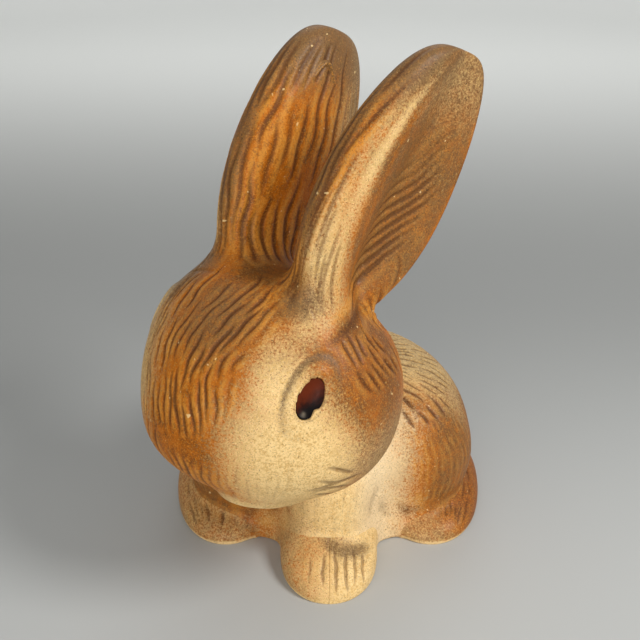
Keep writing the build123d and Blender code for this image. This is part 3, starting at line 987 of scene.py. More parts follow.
def lobe_skin(kind, name, joint):
    """The skin of a hind foot or forepaw: rows are upright sections from toe to heel, each found
    by rays from a middle point, with a pole at each end."""
    side = SIDES[name]
    form = FEET[name] if kind == "foot" else PAWS
    measure = form.measure if kind == "foot" else functools.partial(paw_measure, side)
    along = np.linspace(0, 1, LOBE_ROWS)
    width, rise, middle, y = form.sizes(np.clip(along, 0.004, 0.996))
    if kind == "paw":
        middle = side * width / 2
    around = full_turn(LOBE_COLUMNS)
    origins = np.stack([middle, y, rise * 0.42], -1)[:, None]
    rays = np.stack([np.cos(around), 0 * around, np.sin(around)], -1)
    grid = cast(measure, origins, rays[None] + 0 * origins, LOBE_RAY)
    grid[[0, -1]] = grid[[0, -1]].mean(1, keepdims=True)
    normals, _ = grid_normals(grid)
    grid = joined(grid, normals, [(body_measure, joint)])
    grid[..., 2] = np.maximum(grid[..., 2], 0)
    return grid


def lobe_line(form, x, y):
    """A line on top of a foot or paw, over places on the floor inside it."""
    origins = np.stack([x, y, 0 * x + 1.0], -1)
    return cast(form.measure, origins, np.array([0, 0, 1.0]) + 0 * origins, TOE_RAY)


# Toe grooves of the paws: the place across, the ends at toe and knuckle, and the share of depth;
# and of the hind feet: the place across, the end at the toe and the share of depth
PAW_MARKS = {
    "left": ((2.6, -84, -66, 1.3), (7.4, -83, -66, 1.5), (11.6, -80, -65, 1.1), (15.6, -77, -64, 1.3)),
    "right": ((2.4, -82, -67, 1.0), (9.0, -80, -70, 0.5)),
}
FOOT_MARKS = {"left": (), "right": ((-9, -40, 0.8), (-2, -42, 1.0), (5, -41, 0.7))}


def paw_strokes(name, half_width, depth):
    """Toe grooves of a forepaw, most of them on the left one."""
    side = SIDES[name]
    random = np.random.default_rng(SEEDS["lobes"] + side)
    strokes = []
    for x, toe, knuckle, cut in PAW_MARKS[name]:
        y = np.linspace(toe, knuckle + random.uniform(-2, 2), 18)
        wave = lane(random, x, 14.0)(y)
        line = lobe_line(PAWS, side * (x + 0.4 * wave - 0.05 * (y - knuckle)), y)
        strokes.append((line, half_width * 0.9, depth * cut))
    return strokes


def foot_strokes(name, half_width, depth):
    """Toe grooves of the right hind foot, and on both combed lines back towards the heel."""
    random = np.random.default_rng(SEEDS["lobes"] + SIDES[name])
    form = FEET[name]
    strokes = []
    for x, toe, cut in FOOT_MARKS[name]:
        y = np.linspace(toe + 3, toe + random.uniform(10, 13), 18)
        wave = lane(random, x, 14.0)(y)
        line = lobe_line(form, form.middle_x + x + 0.5 * wave, y)
        strokes.append((line, half_width, depth * cut))
    for _, x, sway in lanes(random, np.arange(-22, 24, 3.2), 30.0):

        def back(place):
            squeeze = np.sqrt(1 - ((place - 46) / 54) ** 2)
            return lobe_line(form, form.middle_x + (x + 0.7 * sway(place)) * squeeze, place - 44)

        strokes += comb(random, back, 6.0, 82.0, 14.0, half_width * 0.8, depth * 0.8)
    return strokes


def lower_strokes(sizes):
    """All combed lines of body, feet and paws."""
    joint, half_width, depth = sizes.in_millimetres("foot_joint", "groove_width", "groove_depth")
    strokes = list(body_strokes(joint, half_width, depth))
    for name in SIDES:
        strokes += foot_strokes(name, half_width, depth)
        strokes += paw_strokes(name, half_width, depth)
    return strokes


# Head with its eye sockets


class Eye:
    """An eye's place on the head: its middle, the way it faces, its long axis and its short one."""

    def __init__(self, side):
        turn, rise, lean = (math.radians(angle) for angle in (EYE_TURN, EYE_RISE, EYE_LEAN))
        sight = HEAD_AHEAD * math.cos(turn) + HEAD_LEFT * (side * math.sin(turn))
        self.sight = sight * math.cos(rise) + HEAD_UP * math.sin(rise)
        self.middle = cast(head_measure, HEAD_CENTRE, self.sight, HEAD_RAY)
        self.out = facing(head_measure, self.middle)
        long = HEAD_UP * math.cos(lean) - HEAD_AHEAD * math.sin(lean)
        self.long = unit(long - self.out * (long @ self.out))
        self.short = np.cross(self.out, self.long) * side

    def place(self, points):
        """Shares of the half length and half width, and the height over the eye's plane."""
        offset = points - self.middle
        long, short = offset @ self.long, offset @ self.short
        return long / (EYE_LENGTH / 2), short / (EYE_WIDTH / 2), offset @ self.out


EYES = {name: Eye(side) for name, side in SIDES.items()}


def head_grid():
    """Directions from the head's centre on rings round the two eyes. A globe with its poles on
    the axis from eye to eye is pushed towards the middle of the face, keeping circles round,
    until its poles lie on the eyes; near an eye the rings are drawn out to the eye's ellipse."""
    left, right = EYES["left"].sight, EYES["right"].sight
    middle, axis = unit(left + right), unit(left - right)
    third = np.cross(axis, middle)
    push = left @ middle
    stretch = 1 / math.sqrt(1 - push * push)
    long_half, short_half = EYE_LENGTH / 2, EYE_WIDTH / 2
    distance = np.linalg.norm(EYES["left"].middle - HEAD_CENTRE)
    rim = math.sqrt(long_half * short_half) / distance * stretch
    shares, angles = (0, 0.05, 0.18, 0.37, 1), (0, 0.85 * rim, 1.2 * rim, 3 * rim, QUARTER)
    rings = np.interp(np.linspace(0, 1, HEAD_RINGS), shares, angles)
    rings = np.concatenate([rings, math.pi - rings[-2::-1]])
    turns = full_turn(HEAD_COLUMNS)
    globe = (
        np.cos(rings)[:, None, None] * axis
        + (np.sin(rings)[:, None] * np.cos(turns))[..., None] * middle
        + (np.sin(rings)[:, None] * np.sin(turns))[..., None] * third
    )
    ahead = globe @ middle
    pushed = unit(globe + ((stretch - 1) * ahead + stretch * push)[..., None] * middle)
    squeeze = math.sqrt(long_half / short_half)
    for eye, depth in ((EYES["left"], rings), (EYES["right"], math.pi - rings)):
        pull = (1 - ease(1.3 * rim, 4 * rim, depth))[:, None]
        long, short = pushed @ eye.long, pushed @ eye.short
        long_by = (squeeze**pull - 1) * long
        short_by = (squeeze**-pull - 1) * short
        pushed = unit(pushed + long_by[..., None] * eye.long + short_by[..., None] * eye.short)
    return pushed


def shape_eyes(points, lid_height):
    """The sockets and lids: inside a lopsided ellipse the skin drops to the socket's floor over a
    narrow step; outside it a bell stands up as a lid, with a shallow ring round it. Also returns
    the share of painted shade: a darker ring in the groove round the lid, strongest on its upper
    side towards the nose, and a thin line at the socket's edge."""
    painted_shade = np.zeros(points.shape[:-1])
    for eye in EYES.values():
        long, short, height = eye.place(points)
        level = np.hypot(long, short) + 9 * (height < -20)
        angle = np.arctan2(short, long)
        dents = 0
        for middle, spread, deep in EYE_DENTS:
            dents = dents + deep * bell((angle - middle + math.pi) % FULL_TURN, math.pi, spread)
        inside = 1 - ease(0.95, 1.01, level + dents * ease(0.3, 0.7, level))
        lid = bell(level, 1.30, 0.24) - 0.9 * bell(level, 1.95, 0.26)
        lid = lid_height * lid * (0.6 + 0.4 * np.cos(angle - 0.5)) * (level < 3.2)
        points = points + eye.out * (lid * (1 - inside) + (-SOCKET_DEPTH - height) * inside)[..., None]
        # Painted shade: a darker ring in the groove round the lid, strongest on its upper side towards the
        # nose, and a thin dark line at the socket's edge
        ring = bell(level, 1.90, 0.34) * (0.62 + 0.38 * np.cos(angle - 0.6))
        painted_shade = strongest(painted_shade, ring, 0.5 * bell(level, 1.08, 0.10))
    return points, painted_shade


# Where the colours lie, by soft patches


def patch(across, upwards, middle, half, lean=0.0, soft=0.7):
    """A soft ellipse: 1 inside, 0 outside, with an edge that is a share of its size."""
    c, s = math.cos(math.radians(lean)), math.sin(math.radians(lean))
    a, b = across - middle[0], upwards - middle[1]
    level = np.hypot((a * c + b * s) / half[0], (b * c - a * s) / half[1])
    return 1 - ease(1 - soft, 1 + soft, level)


def paint_head(points):
    """Cream cheeks, a tan band from the ear's base past the eye and a grey-cream chin on an
    orange head; grey-brown over the brow, at the ear joints and on the jowls. On the rabbit's
    right the cheek lies further back."""
    azimuth, elevation = head_angles(points)
    turn = np.where(azimuth > -4, azimuth, -azimuth - 12 * ease(0, 40, -azimuth))
    chin = ease(-26, -44, elevation) * ease(4, 36, turn)
    cheek = strongest(
        patch(turn, elevation, (60, -8), (30, 36), 0, 0.75),
        0.85 * patch(turn, elevation, (52, 24), (15, 22), 0, 0.9),
        chin,
        ease(-46, -60, elevation),
    )
    band = 0.62 * patch(turn, elevation, (80, 52), (30, 9), 14, 0.8)
    jowl = 0.62 * patch(turn, elevation, (104, -8), (28, 24), 0, 0.7)
    rear = 0.6 * ease(112, 150, turn) * ease(40, -20, elevation)
    edge = 0.66 * patch(azimuth, elevation, (-46, 0), (30, 36), 0, 0.8)
    behind = patch(turn, elevation, (100, 28), (28, 27), -8, 0.6)
    cream = strongest(cheek, band, jowl, rear, edge) * (1 - 0.90 * behind)
    low = patch(azimuth, elevation, (8, -16), (22, 16), 0, 0.9)
    dusk = strongest(
        patch(turn, elevation, (72, 62), (24, 10), 12, 0.8),
        patch(azimuth, elevation, (-76, 48), (34, 20), 0, 0.8),
        0.40 * patch(azimuth, elevation, (-40, 6), (22, 42), 0, 0.8),
        0.72 * patch(turn, elevation, (104, -8), (24, 22), 0, 0.8),
        0.55 * ease(-34, -58, elevation),
        0.60 * patch(turn, elevation, (96, 46), (34, 5), 13, 0.9),
        0.48 * behind,
        0.60 * ease(58, 82, elevation),
        0.78 * patch(azimuth, elevation, (4, 52), (36, 22), 0, 0.8),
        0.46 * patch(turn, elevation, (58, 42), (26, 14), 0, 0.8),
    )
    return {"spray": 1 - cream + 0.15 * low, "dusk": dusk * (1 - low), "rust": 0.40 * behind}


def paint_ear(along, around):
    """A ridge of cream glaze and painted highlight between front and dish that widens at the base,
    orange faces, a brown dish and a grey-brown tip; along is the share of the rib and around the
    angle from the front rim, in degrees."""
    turn = np.mod(around + 180, 360) - 180
    middle = np.interp(along, (0, 0.2, 0.35, 0.6, 0.8, 0.9, 1), (50, 47, 46, 49, 53, 60, 64))
    edge = np.interp(along, (0, 0.22, 0.36, 0.5, 0.63, 0.78, 0.9, 1), (90, 78, 65, 61, 59, 60, 68, 76))
    wide = 15 - 6 * ease(0.3, 0.8, along)
    # The ridge is cream glaze and painted highlight along the edge between front and dish
    ridge = bell(turn, middle, np.where(turn < middle, wide, 2 + 0.7 * (edge - middle)))
    ridge = ridge * (1 - 0.55 * ease(0.78, 1.0, along))
    broad = 13 + 22 * ease(0.62, 0.15, along)
    front = (0.42 + 0.34 * ease(0.6, 0.2, along)) * bell(turn, middle - 12, broad)
    dish = ease(-6, 14, turn - edge) * ease(182, 150, turn)
    tip = ease(0.60, 0.94, along)
    margin = bell(turn, -140, 30) * ease(0.25, 0.70, along)
    cream = strongest((0.66 - 0.06 * ease(0.62, 0.3, along)) * ridge, front, 0.12 * dish, 0.50 * margin)
    cream = strongest(cream, (0.22 + 0.28 * dish) * tip)
    line = bell(turn, edge, 6) * ease(0.95, 0.6, along)
    rim = 0.6 * bell(np.abs(turn), 177, 6) * ease(0.75, 0.4, along)
    medial = 0.78 * ease(24, 6, turn) * ease(-30, -10, turn) * ease(0.12, 0.40, along)
    dusk = strongest(
        (1.1 - 0.35 * dish) * tip,
        0.70 * dish,
        0.70 * line,
        0.90 * margin,
        rim,
        medial,
        0.50 * front,
        0.50 * ease(0.14, 0.02, along),
    )
    return {
        "spray": 1 - cream,
        "dusk": dusk * (1 - 0.45 * ridge),
        "rust": strongest(0.14 * dish * (1 - tip), rim),
    }


def paint_front(x):
    """Cream share and white share of the chest and forepaws, from orange on the rabbit's right
    to near white on its left."""
    return 0.44 + 0.56 * ease(-26, 6, x), 0.75 * ease(6, 24, x)


def paint_body(points):
    """A cream upper back and rump, orange flanks that turn rust at the back, speckled tan haunches
    next to the chest, and the chest's own colours from its right to its left."""
    x, y, z = np.moveaxis(points, -1, 0)
    side = np.abs(x)
    across, white = paint_front(x)
    wave = 4 * np.sin(0.11 * x + 0.07 * y) + 3 * np.sin(0.17 * y - 0.05 * x + 1.0)
    back = ease(46, 74, z + wave + 0.12 * np.abs(y - 30)) * ease(-34, 6, y)
    front = ease(-8, -32, y) * ease(60, 16, side)
    haunch = ease(68, 24, side + 0.3 * z) * ease(62, 30, z) * ease(8, -22, y)
    rump = patch(x, z, (0, 20), (38, 30), 0, 0.7) * ease(44, 68, y)
    cream = strongest(
        0.85 * back,
        front * across,
        0.52 * haunch * ease(-20, 0, x),
        0.6 * rump,
        0.06 + 0 * x,
    )
    rust = patch(side, z, (66, 22), (22, 30), 0, 0.9) * ease(-30, 0, y)
    crease = bell(z, 15, 5) * ease(28, 40, side) * ease(0, -20, y)
    dimple = patch(side, z, (33, 14), (6, 7), 0, 0.9) * ease(-20, -30, y)
    dusk = strongest(
        0.45 * back,
        0.38 * ease(40, 70, z),
        0.30 * haunch,
        0.35 * ease(8, 1, z) * (1 - front),
        0.5 * crease,
        0.22 * dimple,
        0.62 * (1 - ease(14, -26, y) * ease(58, 34, side)),
    )
    return {
        "spray": 1 - cream,
        "dusk": dusk,
        "rust": 0.5 * rust,
        "white": white * strongest(front, 0.4 * haunch),
    }


def paint_lobe(kind, name, points):
    """The left hind foot is rust at the heel and cream at the toes, the right one tan outside and
    orange inside; the forepaws carry on the chest's colours, with painted shadow in an arc over
    the knuckles, where they meet the chest. The bottom edge is worn pale."""
    x, y, z = np.moveaxis(points, -1, 0)
    worn = 0.7 * ease(2.4, 1.0, z)
    if kind == "paw":
        across, white = paint_front(x - 8 - 8 * ease(-76, -62, y))
        hump = np.abs(x - 8)
        # Painted shadow: a grey-brown and rust arc over the knuckles, where the paws meet the chest
        arch = ease(17, 6, hump) * bell(y, 0.035 * hump**2 - 66, 4.5) * ease(8, 15, z)
        return {
            "spray": (1 - across) * (1 - worn),
            "dusk": (0.75 * arch + 0.24 * across) * (1 - worn),
            "rust": 0.15 * arch,
            "white": white,
        }
    inner = ease(52, 38, np.abs(x) - 0.2 * y)
    if name == "right":
        spray, dusk, rust = 0.62 + 0.38 * inner, 0.44 + 0.10 * inner, 0.15 * inner
    else:
        toe = ease(-2, -40, y + 0.5 * z + 0.8 * (x - 44))
        spray, dusk, rust = 1 - 0.46 * toe, 0.40 + 0.16 * toe, 0.60 * (1 - toe) ** 1.5
    return {
        "spray": spray * (1 - worn),
        "dusk": dusk * (1 - worn),
        "rust": rust * (1 - worn),
        "white": 0.3 * worn,
    }


def paint_tail(points):
    """A cream tail with a little orange above."""
    z = points[..., 2]
    return {"spray": 0.5 * ease(16, 38, z), "dusk": 0.15}


# Meshes


# Attributes that the materials read, 0 where a piece has none: sprayed orange, grey-brown, rust
# and white, each as a share, then how deep the skin is cut and how near it is to a cut's ridge
# Grey-brown also holds painted shade round the eyes and over the forepaws' knuckles; on the eyes spray is the
# share of painted shade and white a painted highlight
FIELDS = ("spray", "dusk", "rust", "white", "groove", "ridge")
RIDGE_HEIGHT_SHARE = 0.1
DEEPEST_SHARE = 1.5


def ring_faces(rings, columns):
    """Faces of closed rings of points, which two poles follow: the quads between the rings and the
    triangles round the first pole and round the second."""
    ring = np.arange(rings * columns).reshape(rings, columns)
    beside = np.roll(ring, -1, 1)
    quads = np.stack([ring[:-1], ring[1:], beside[1:], beside[:-1]], -1).reshape(-1, 4)
    first, last = np.full(columns, ring.size), np.full(columns, ring.size + 1)
    first_fan = np.stack([first, ring[0], beside[0]], -1)
    last_fan = np.stack([ring[-1], last, beside[-1]], -1)
    return quads, first_fan, last_fan


def write_piece(name, points, fields, material, slot, *nodes):
    """Puts a closed grid, whose first and last rows are poles, into a mesh object with one
    attribute a field, and hands it to the frame in place of its CAD nodes."""
    _, sign = grid_normals(points)
    rows, columns = points.shape[:2]
    quads, *fans = ring_faces(rows - 2, columns)
    fans = np.concatenate(fans)
    if sign < 0:
        quads, fans = quads[:, ::-1], fans[:, ::-1]
    corners = np.concatenate([quads.ravel(), fans.ravel()]).astype(np.int32)
    starts = np.concatenate([np.arange(len(quads)) * 4, len(quads) * 4 + np.arange(len(fans)) * 3])
    places = np.concatenate([points[1:-1].reshape(-1, 3), points[[0, -1], 0]]) * MILLIMETRE
    mesh = bpy.data.meshes.new(name)
    mesh.vertices.add(len(places))
    mesh.vertices.foreach_set("co", places.astype(np.float32).ravel())
    mesh.loops.add(len(corners))
    mesh.loops.foreach_set("vertex_index", corners)
    mesh.polygons.add(len(starts))
    mesh.polygons.foreach_set("loop_start", starts.astype(np.int32))
    mesh.polygons.foreach_set("use_smooth", np.ones(len(starts), bool))
    mesh.update(calc_edges=True)
    if mesh.validate():
        raise RuntimeError(f"{name}: the grid made faces that Blender had to mend")
    for field in FIELDS:
        values = np.broadcast_to(fields.get(field, 0.0), points.shape[:2])
        values = np.concatenate([values[1:-1].ravel(), values[[0, -1], 0]]).astype(np.float32)
        mesh.attributes.new(field, "FLOAT", "POINT").data.foreach_set("value", values)
    mesh.materials.append(material)
    piece = bpy.data.objects.new(name, mesh)
    bpy.context.scene.collection.objects.link(piece)
    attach(piece, "root")
    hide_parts(*nodes)


def dress(points, strokes, fields, groove_depth):
    """Cuts the strokes into a skin and notes how deep it is cut. The ridges beside them stand up
    by a share of a groove."""
    depth, ridge = carve(points, strokes)
    normals, _ = grid_normals(points)
    raised = RIDGE_HEIGHT_SHARE * groove_depth * ridge * (depth <= 0)
    points = points + normals * (raised - depth)[..., None]
    fields = dict(fields, groove=np.minimum(depth / groove_depth, DEEPEST_SHARE), ridge=ridge)
    return points, fields


# Materials


class Signal:
    """A socket that arithmetic can be written with: each sum or product adds a Math node."""

    def __init__(self, paint, socket):
        self.paint = paint
        self.socket = socket

    def sum_with(self, operation, first, second):
        """The outcome of one Math node."""
        return self.paint.node("ShaderNodeMath", {"operation": operation}, {0: first, 1: second})

    def __add__(self, other):
        return self.sum_with("ADD", self, other)

    __radd__ = __add__

    def __mul__(self, other):
        return self.sum_with("MULTIPLY", self, other)

    __rmul__ = __mul__

    def __sub__(self, other):
        return self.sum_with("SUBTRACT", self, other)

    def __rsub__(self, other):
        return self.sum_with("SUBTRACT", other, self)


class Paint:
    """One material's node tree."""

    def __init__(self, name):
        self.material = bpy.data.materials.new(name)
        self.material.use_nodes = True
        self.tree = self.material.node_tree
        self.tree.nodes.clear()

    def node(self, kind, settings=None, inputs=None, output=0):
        """Adds a node: its settings first, then the values or links of its sockets."""
        made = self.tree.nodes.new(kind)
        for key, value in (settings or {}).items():
            setattr(made, key, value)
        for key, value in (inputs or {}).items():
            if isinstance(value, Signal):
                self.tree.links.new(value.socket, made.inputs[key])
            else:
                made.inputs[key].default_value = value
        return Signal(self, made.outputs[output])

    def field(self, name):
        """An attribute of the mesh."""
        return self.node("ShaderNodeAttribute", {"attribute_name": name}, output="Fac")

    def place(self):
        """The place on the object, in metres."""
        return self.node("ShaderNodeTexCoord", output="Object")

    def noise(self, scale, detail=2.0, roughness=0.5):
        """Noise of the given scale per metre, about 0.5 on average."""
        sockets = {"Vector": self.place(), "Scale": scale, "Detail": detail, "Roughness": roughness}
        return self.node("ShaderNodeTexNoise", None, sockets)

    def step(self, value, low, high):
        """A smooth step from 0 at low to 1 at high."""
        settings = {"interpolation_type": "SMOOTHSTEP"}
        return self.node("ShaderNodeMapRange", settings, {"Value": value, "From Min": low, "From Max": high})

    def mix(self, share, first, second):
        """Two colours mixed by the second one's share."""
        inputs = {0: share, 6: self.colour(first), 7: self.colour(second)}
        return self.node("ShaderNodeMix", {"data_type": "RGBA"}, inputs, output=2)

    def colour(self, value):
        """A mixed colour as it is, or a plain one made opaque."""
        return value if isinstance(value, Signal) else (*value, 1.0)

    def bump(self, strength, distance, height):
        """The surface's normal, roughened by a height."""
        inputs = {"Strength": strength, "Distance": distance, "Height": height}
        return self.node("ShaderNodeBump", None, inputs)

    def finish(self, shader_inputs):
        """The surface shader and the material's output."""
        shader = self.node("ShaderNodeBsdfPrincipled", None, shader_inputs)
        end = self.tree.nodes.new("ShaderNodeOutputMaterial")
        self.tree.links.new(shader.socket, end.inputs["Surface"])
        return self.material


def toned(colour, share):
    """A colour whose parts are multiplied by a share, or by one share each."""
    return tuple(np.multiply(colour, share))


def glaze_material(name, colours):
    """Cream glaze with orange, rust and grey-brown sprayed over it in fine drops, dark stain in the
    grooves, pale worn ridges and pepper specks, under a satin gloss. The grey-brown, and on the
    forepaws the rust, also carry painted shade round the eyes and over the knuckles."""
    paint = Paint(name)
    cloud = paint.noise(38.0, 3.0, 0.55)
    drops = paint.noise(1000.0, 2.0, 0.7)
    grain = paint.noise(1550.0, 2.0, 0.7)
    sand = paint.noise(1500.0, 1.0, 0.6)
    mottle = paint.noise(260.0, 4.0, 0.65)
    wisp = paint.noise(460.0, 3.0, 0.6)
    groove, ridge = paint.field("groove"), paint.field("ridge")
    sprayed = paint.field("spray")
    spray = sprayed + (drops - 0.5) * 1.7 + (mottle - 0.5) * 0.45 + (cloud - 0.5) * 0.30
    dusk = paint.field("dusk") + (drops - 0.5) * 1.1 + (wisp - 0.5) * 0.6
    tan = toned(colours.cream, (0.70, 0.60, 0.46))
    ground = paint.mix(paint.step(drops * 0.7 + mottle * 0.3, 0.40, 0.58), tan, colours.cream)
    ground = paint.mix(paint.field("white") * 0.75, ground, colours.white)
    deep = toned(colours.orange, 0.36)
    fleck = drops * 0.5 + mottle * 0.5 + (cloud - 0.5) * 0.6
    orange = paint.mix(paint.step(fleck, 0.34, 0.58), deep, colours.orange)
    lift = paint.step(ridge + (wisp - 0.5) * 1.2 + (drops - 0.5) * 1.4, 0.25, 1.20)
    orange = paint.mix(lift * 0.75, orange, colours.gold)
    rusty = paint.step(paint.field("rust") + (drops - 0.5) * 0.7, 0.15, 0.85)
    orange = paint.mix(rusty, orange, colours.rust)
    surface = paint.mix(paint.step(spray, 0.08, 0.95), ground, orange)
    # Grey-brown: overspray, and painted shade round the eyes and over the forepaws' knuckles
    surface = paint.mix(paint.step(dusk, 0.12, 1.05) * 0.88, surface, colours.dusk)
    stain = paint.step(groove + (drops - 0.5) * 0.6, 0.03, 0.75) * (sprayed * 0.34 + 0.44)
    surface = paint.mix(stain, surface, colours.valley)
    pepper = paint.step(grain, 0.585, 0.660) * (paint.field("dusk") * 0.3 + 0.50)
    surface = paint.mix(pepper, surface, colours.speck)
    light = paint.mix(paint.step(sprayed, 0.3, 0.9), colours.cream, colours.gold)
    grit = paint.step(sand, 0.54, 0.66) * (0.50 - groove * 0.3 - paint.field("dusk") * 0.28)
    surface = paint.mix(grit, surface, light)
    pale = paint.step(paint.noise(330.0, 1.0, 0.5), 0.750, 0.780) * 0.6
    surface = paint.mix(pale, surface, colours.cream)
    bump = paint.bump(0.4, 0.00022, drops * 0.6 + grain * 0.3 + mottle)
    roughness = paint.step(drops, 0.3, 0.7) * 0.12 + 0.42 + groove * 0.08
    return paint.finish(
        {
            "Base Color": surface,
            "Roughness": roughness,
            "Normal": bump,
            "Coat Weight": 0.03,
            "Coat Roughness": 0.25,
            "Specular IOR Level": 0.15,
        }
    )


def eye_material(colours):
    """Thick dark glaze with painted light and shade: red-brown on the upper side as if lit inside a hollow,
    near black below, with one small painted grey highlight.
    """
    paint = Paint("eye_glaze")
    # Painted shade of the eye: its share rises from the lit red-brown above to near black below
    painted_shade = paint.field("spray") + (paint.noise(420.0, 3.0, 0.6) - 0.5) * 0.5
    surface = paint.mix(paint.step(painted_shade, 0.2, 0.85), colours.eye_painted_light, colours.eye_painted_shade)
    # A small painted highlight in grey, where the white field is
    surface = paint.mix(paint.field("white"), surface, toned(colours.clay, 0.5))
    bump = paint.bump(0.3, 0.0002, paint.noise(260.0))
    roughness = paint.step(paint.noise(700.0), 0.3, 0.8) * 0.15 + 0.38
    inputs = {"Base Color": surface, "Roughness": roughness, "Normal": bump, "Specular IOR Level": 0.1}
    return paint.finish(inputs)


def clay_material(colours):
    """Bare fired clay with faint blotches and pores."""
    paint = Paint("bare_clay")
    blotch = paint.noise(60.0, 4.0, 0.6)
    pores = paint.noise(1600.0, 2.0, 0.6)
    dark = toned(colours.clay, 0.72)
    surface = paint.mix(paint.step(blotch, 0.3, 0.7), dark, colours.clay)
    surface = paint.mix(paint.step(pores, 0.62, 0.74) * 0.5, surface, toned(colours.clay, 0.4))
    bump = paint.bump(0.5, 0.0002, pores)
    return paint.finish({"Base Color": surface, "Roughness": 0.82 + blotch * 0.1, "Normal": bump})


def floor_material(colours):
    """Matt grey paper with painted light: painted shade where the backdrop starts to bend up, and painted
    light above that, making up for the lamps' fall-off.
    """
    paint = Paint("floor_paper")
    cloud = paint.noise(1.3)
    away = paint.node("ShaderNodeSeparateXYZ", None, {"Vector": paint.place()}, output="Y")
    surface = paint.mix(cloud, toned(colours.floor, 0.97), colours.floor)
    # Painted shade where the floor starts to bend up, then painted light on the backdrop above
    surface = paint.mix(paint.step(away, -0.12, 0.24), surface, toned(colours.floor, 0.64))
    surface = paint.mix(paint.step(away, 0.26, 1.05), surface, toned(colours.floor, 1.95))
    return paint.finish({"Base Color": surface, "Roughness": cloud * 0.05 + 0.6, "Specular IOR Level": 0.3})


def write_glazed(scene, name, points, fields, slot, *nodes):
    """Writes a piece in the glaze of its slot, which is made once."""
    title = f"sprayed_{slot}"
    material = bpy.data.materials.get(title) or glaze_material(title, scene.rabbit_colours)
    write_piece(name, points, fields, material, slot, *nodes)


# Operators


class BuildStep:
    """What the operators share: each builds its own part of the scene from the sizes in it."""

    def execute(self, context):
        self.build(context.scene, context.scene.rabbit_sizes)
        return {"FINISHED"}


class RABBIT_OT_head(BuildStep, Operator):
    """Build the head with its combed brow, eye sockets, lids and chin"""

    bl_idname = "rabbit.head"
    bl_label = "Head"

    def build(self, scene, sizes):
        joint, lid_height, depth = sizes.in_millimetres("ear_joint", "lid_height", "groove_depth")
        points = cast(head_measure, HEAD_CENTRE, head_grid(), HEAD_RAY)
        normals, _ = grid_normals(points)
        radius = functools.partial(ear_joint_radius, joint=joint)
        points = joined(points, normals, [(ear.measure, radius) for ear in EARS.values()])
        points, painted_shade = shape_eyes(points, lid_height)
        fields = paint_head(points)
        # The painted shade round the eyes is laid into the grey-brown field
        fields["dusk"] = strongest(fields["dusk"], painted_shade)
        points, fields = dress(points, upper_strokes(sizes), fields, depth)
        write_glazed(scene, "head", points, fields, "head_glaze", "head_shell")


class RABBIT_OT_ears(BuildStep, Operator):
    """Build the two swept-back ears, each with its joint to the head"""

    bl_idname = "rabbit.ears"
    bl_label = "Ears"

    def build(self, scene, sizes):
        joint, depth = sizes.in_millimetres("ear_joint", "groove_depth")
        strokes = upper_strokes(sizes)
        for name in EARS:
            points, along, around = ear_skin(name, joint)
            fields = paint_ear(along[:, None], np.degrees(around)[None] + 0 * along[:, None])
            low = ease(0.26, 0.10, along)[:, None]
            head = paint_head(points)
            fields = {key: value * (1 - low) + head[key] * low for key, value in fields.items()}
            points, fields = dress(points, strokes, fields, depth)
            piece = f"{name}_ear_glazed"
            write_glazed(scene, piece, points, fields, "ear_glaze", f"{name}_ear")


class RABBIT_OT_eyes(BuildStep, Operator):
    """Build the two glossy eyes, hollowed a little, in their sockets"""

    bl_idname = "rabbit.eyes"
    bl_label = "Eyes"

    def build(self, scene, sizes):
        material = eye_material(scene.rabbit_colours)
        level = np.array(EYE_LEVELS)
        height = -EYE_RIM_DEPTH - EYE_BOWL_DEPTH * (1 - level**2.4)
        height[-5:-3] = -EYE_RIM_DEPTH - 0.5, -EYE_RIM_DEPTH - 1.2
        height[-3:] = -EYE_UNDERSIDE
        around = full_turn(EYE_COLUMNS)
        along, across = np.outer(level, np.cos(around)), np.outer(level, np.sin(around))
        # On the eyes, spray is the share of painted shade: low on the upper side, which is painted as if lit,
        # high towards the lower end
        fields = {
            "spray": 0.5 - 0.45 * along - 0.30 * across,
            # White here is a small painted grey highlight near the eye's lower end
            "white": 0.5 * bell(np.hypot(along + 0.76, across / 2), 0, 0.08),
        }
        for name, eye in EYES.items():
            long = (along * EYE_LENGTH / 2)[..., None] * eye.long
            short = (across * EYE_WIDTH / 2)[..., None] * eye.short
            points = eye.middle + long + short + height[:, None, None] * eye.out
            write_piece(f"{name}_eye_glazed", points, fields, material, "eye_gloss", f"{name}_eye")


class RABBIT_OT_body(BuildStep, Operator):
    """Build the body with its chest, combed back and open underside"""

    bl_idname = "rabbit.body"
    bl_label = "Body"

    def build(self, scene, sizes):
        joint, depth = sizes.in_millimetres("foot_joint", "groove_depth")
        skin, _, _, rays = body_skin(joint)
        skin, fields = dress_open(skin, lower_strokes(sizes), paint_body(skin), depth)
        # Underneath, a rim as wide as the wall leads to a flat ceiling above the base plate
        inner = skin[0] - rays * (SHELL_WALL - BODY_EDGE)
        ceiling = inner + np.array([0, 0, SHELL_WALL])
        pole = np.broadcast_to(ceiling.mean(0), ceiling.shape)
        points = np.concatenate([[pole, ceiling, inner], skin])
        fields = {key: np.concatenate([np.repeat(value[:1], 3, 0), value]) for key, value in fields.items()}
        write_glazed(scene, "body", points, fields, "body_glaze", "body_shell")


def dress_open(points, strokes, fields, groove_depth):
    """Dresses a skin that starts at an open edge, which is left as it is."""
    closed = np.concatenate([points[:1], points])
    fields = {key: np.concatenate([value[:1], value]) for key, value in fields.items()}
    closed, fields = dress(closed, strokes, fields, groove_depth)
    closed[1] = points[0]
    return closed[1:], {key: value[1:] for key, value in fields.items()}


class RABBIT_OT_forepaws(BuildStep, Operator):
    """Build the two forepaws with their toe grooves"""

    bl_idname = "rabbit.forepaws"
    bl_label = "Forepaws"

    def build(self, scene, sizes):
        build_lobes(scene, sizes, "paw", "forepaw", "paw_glaze")


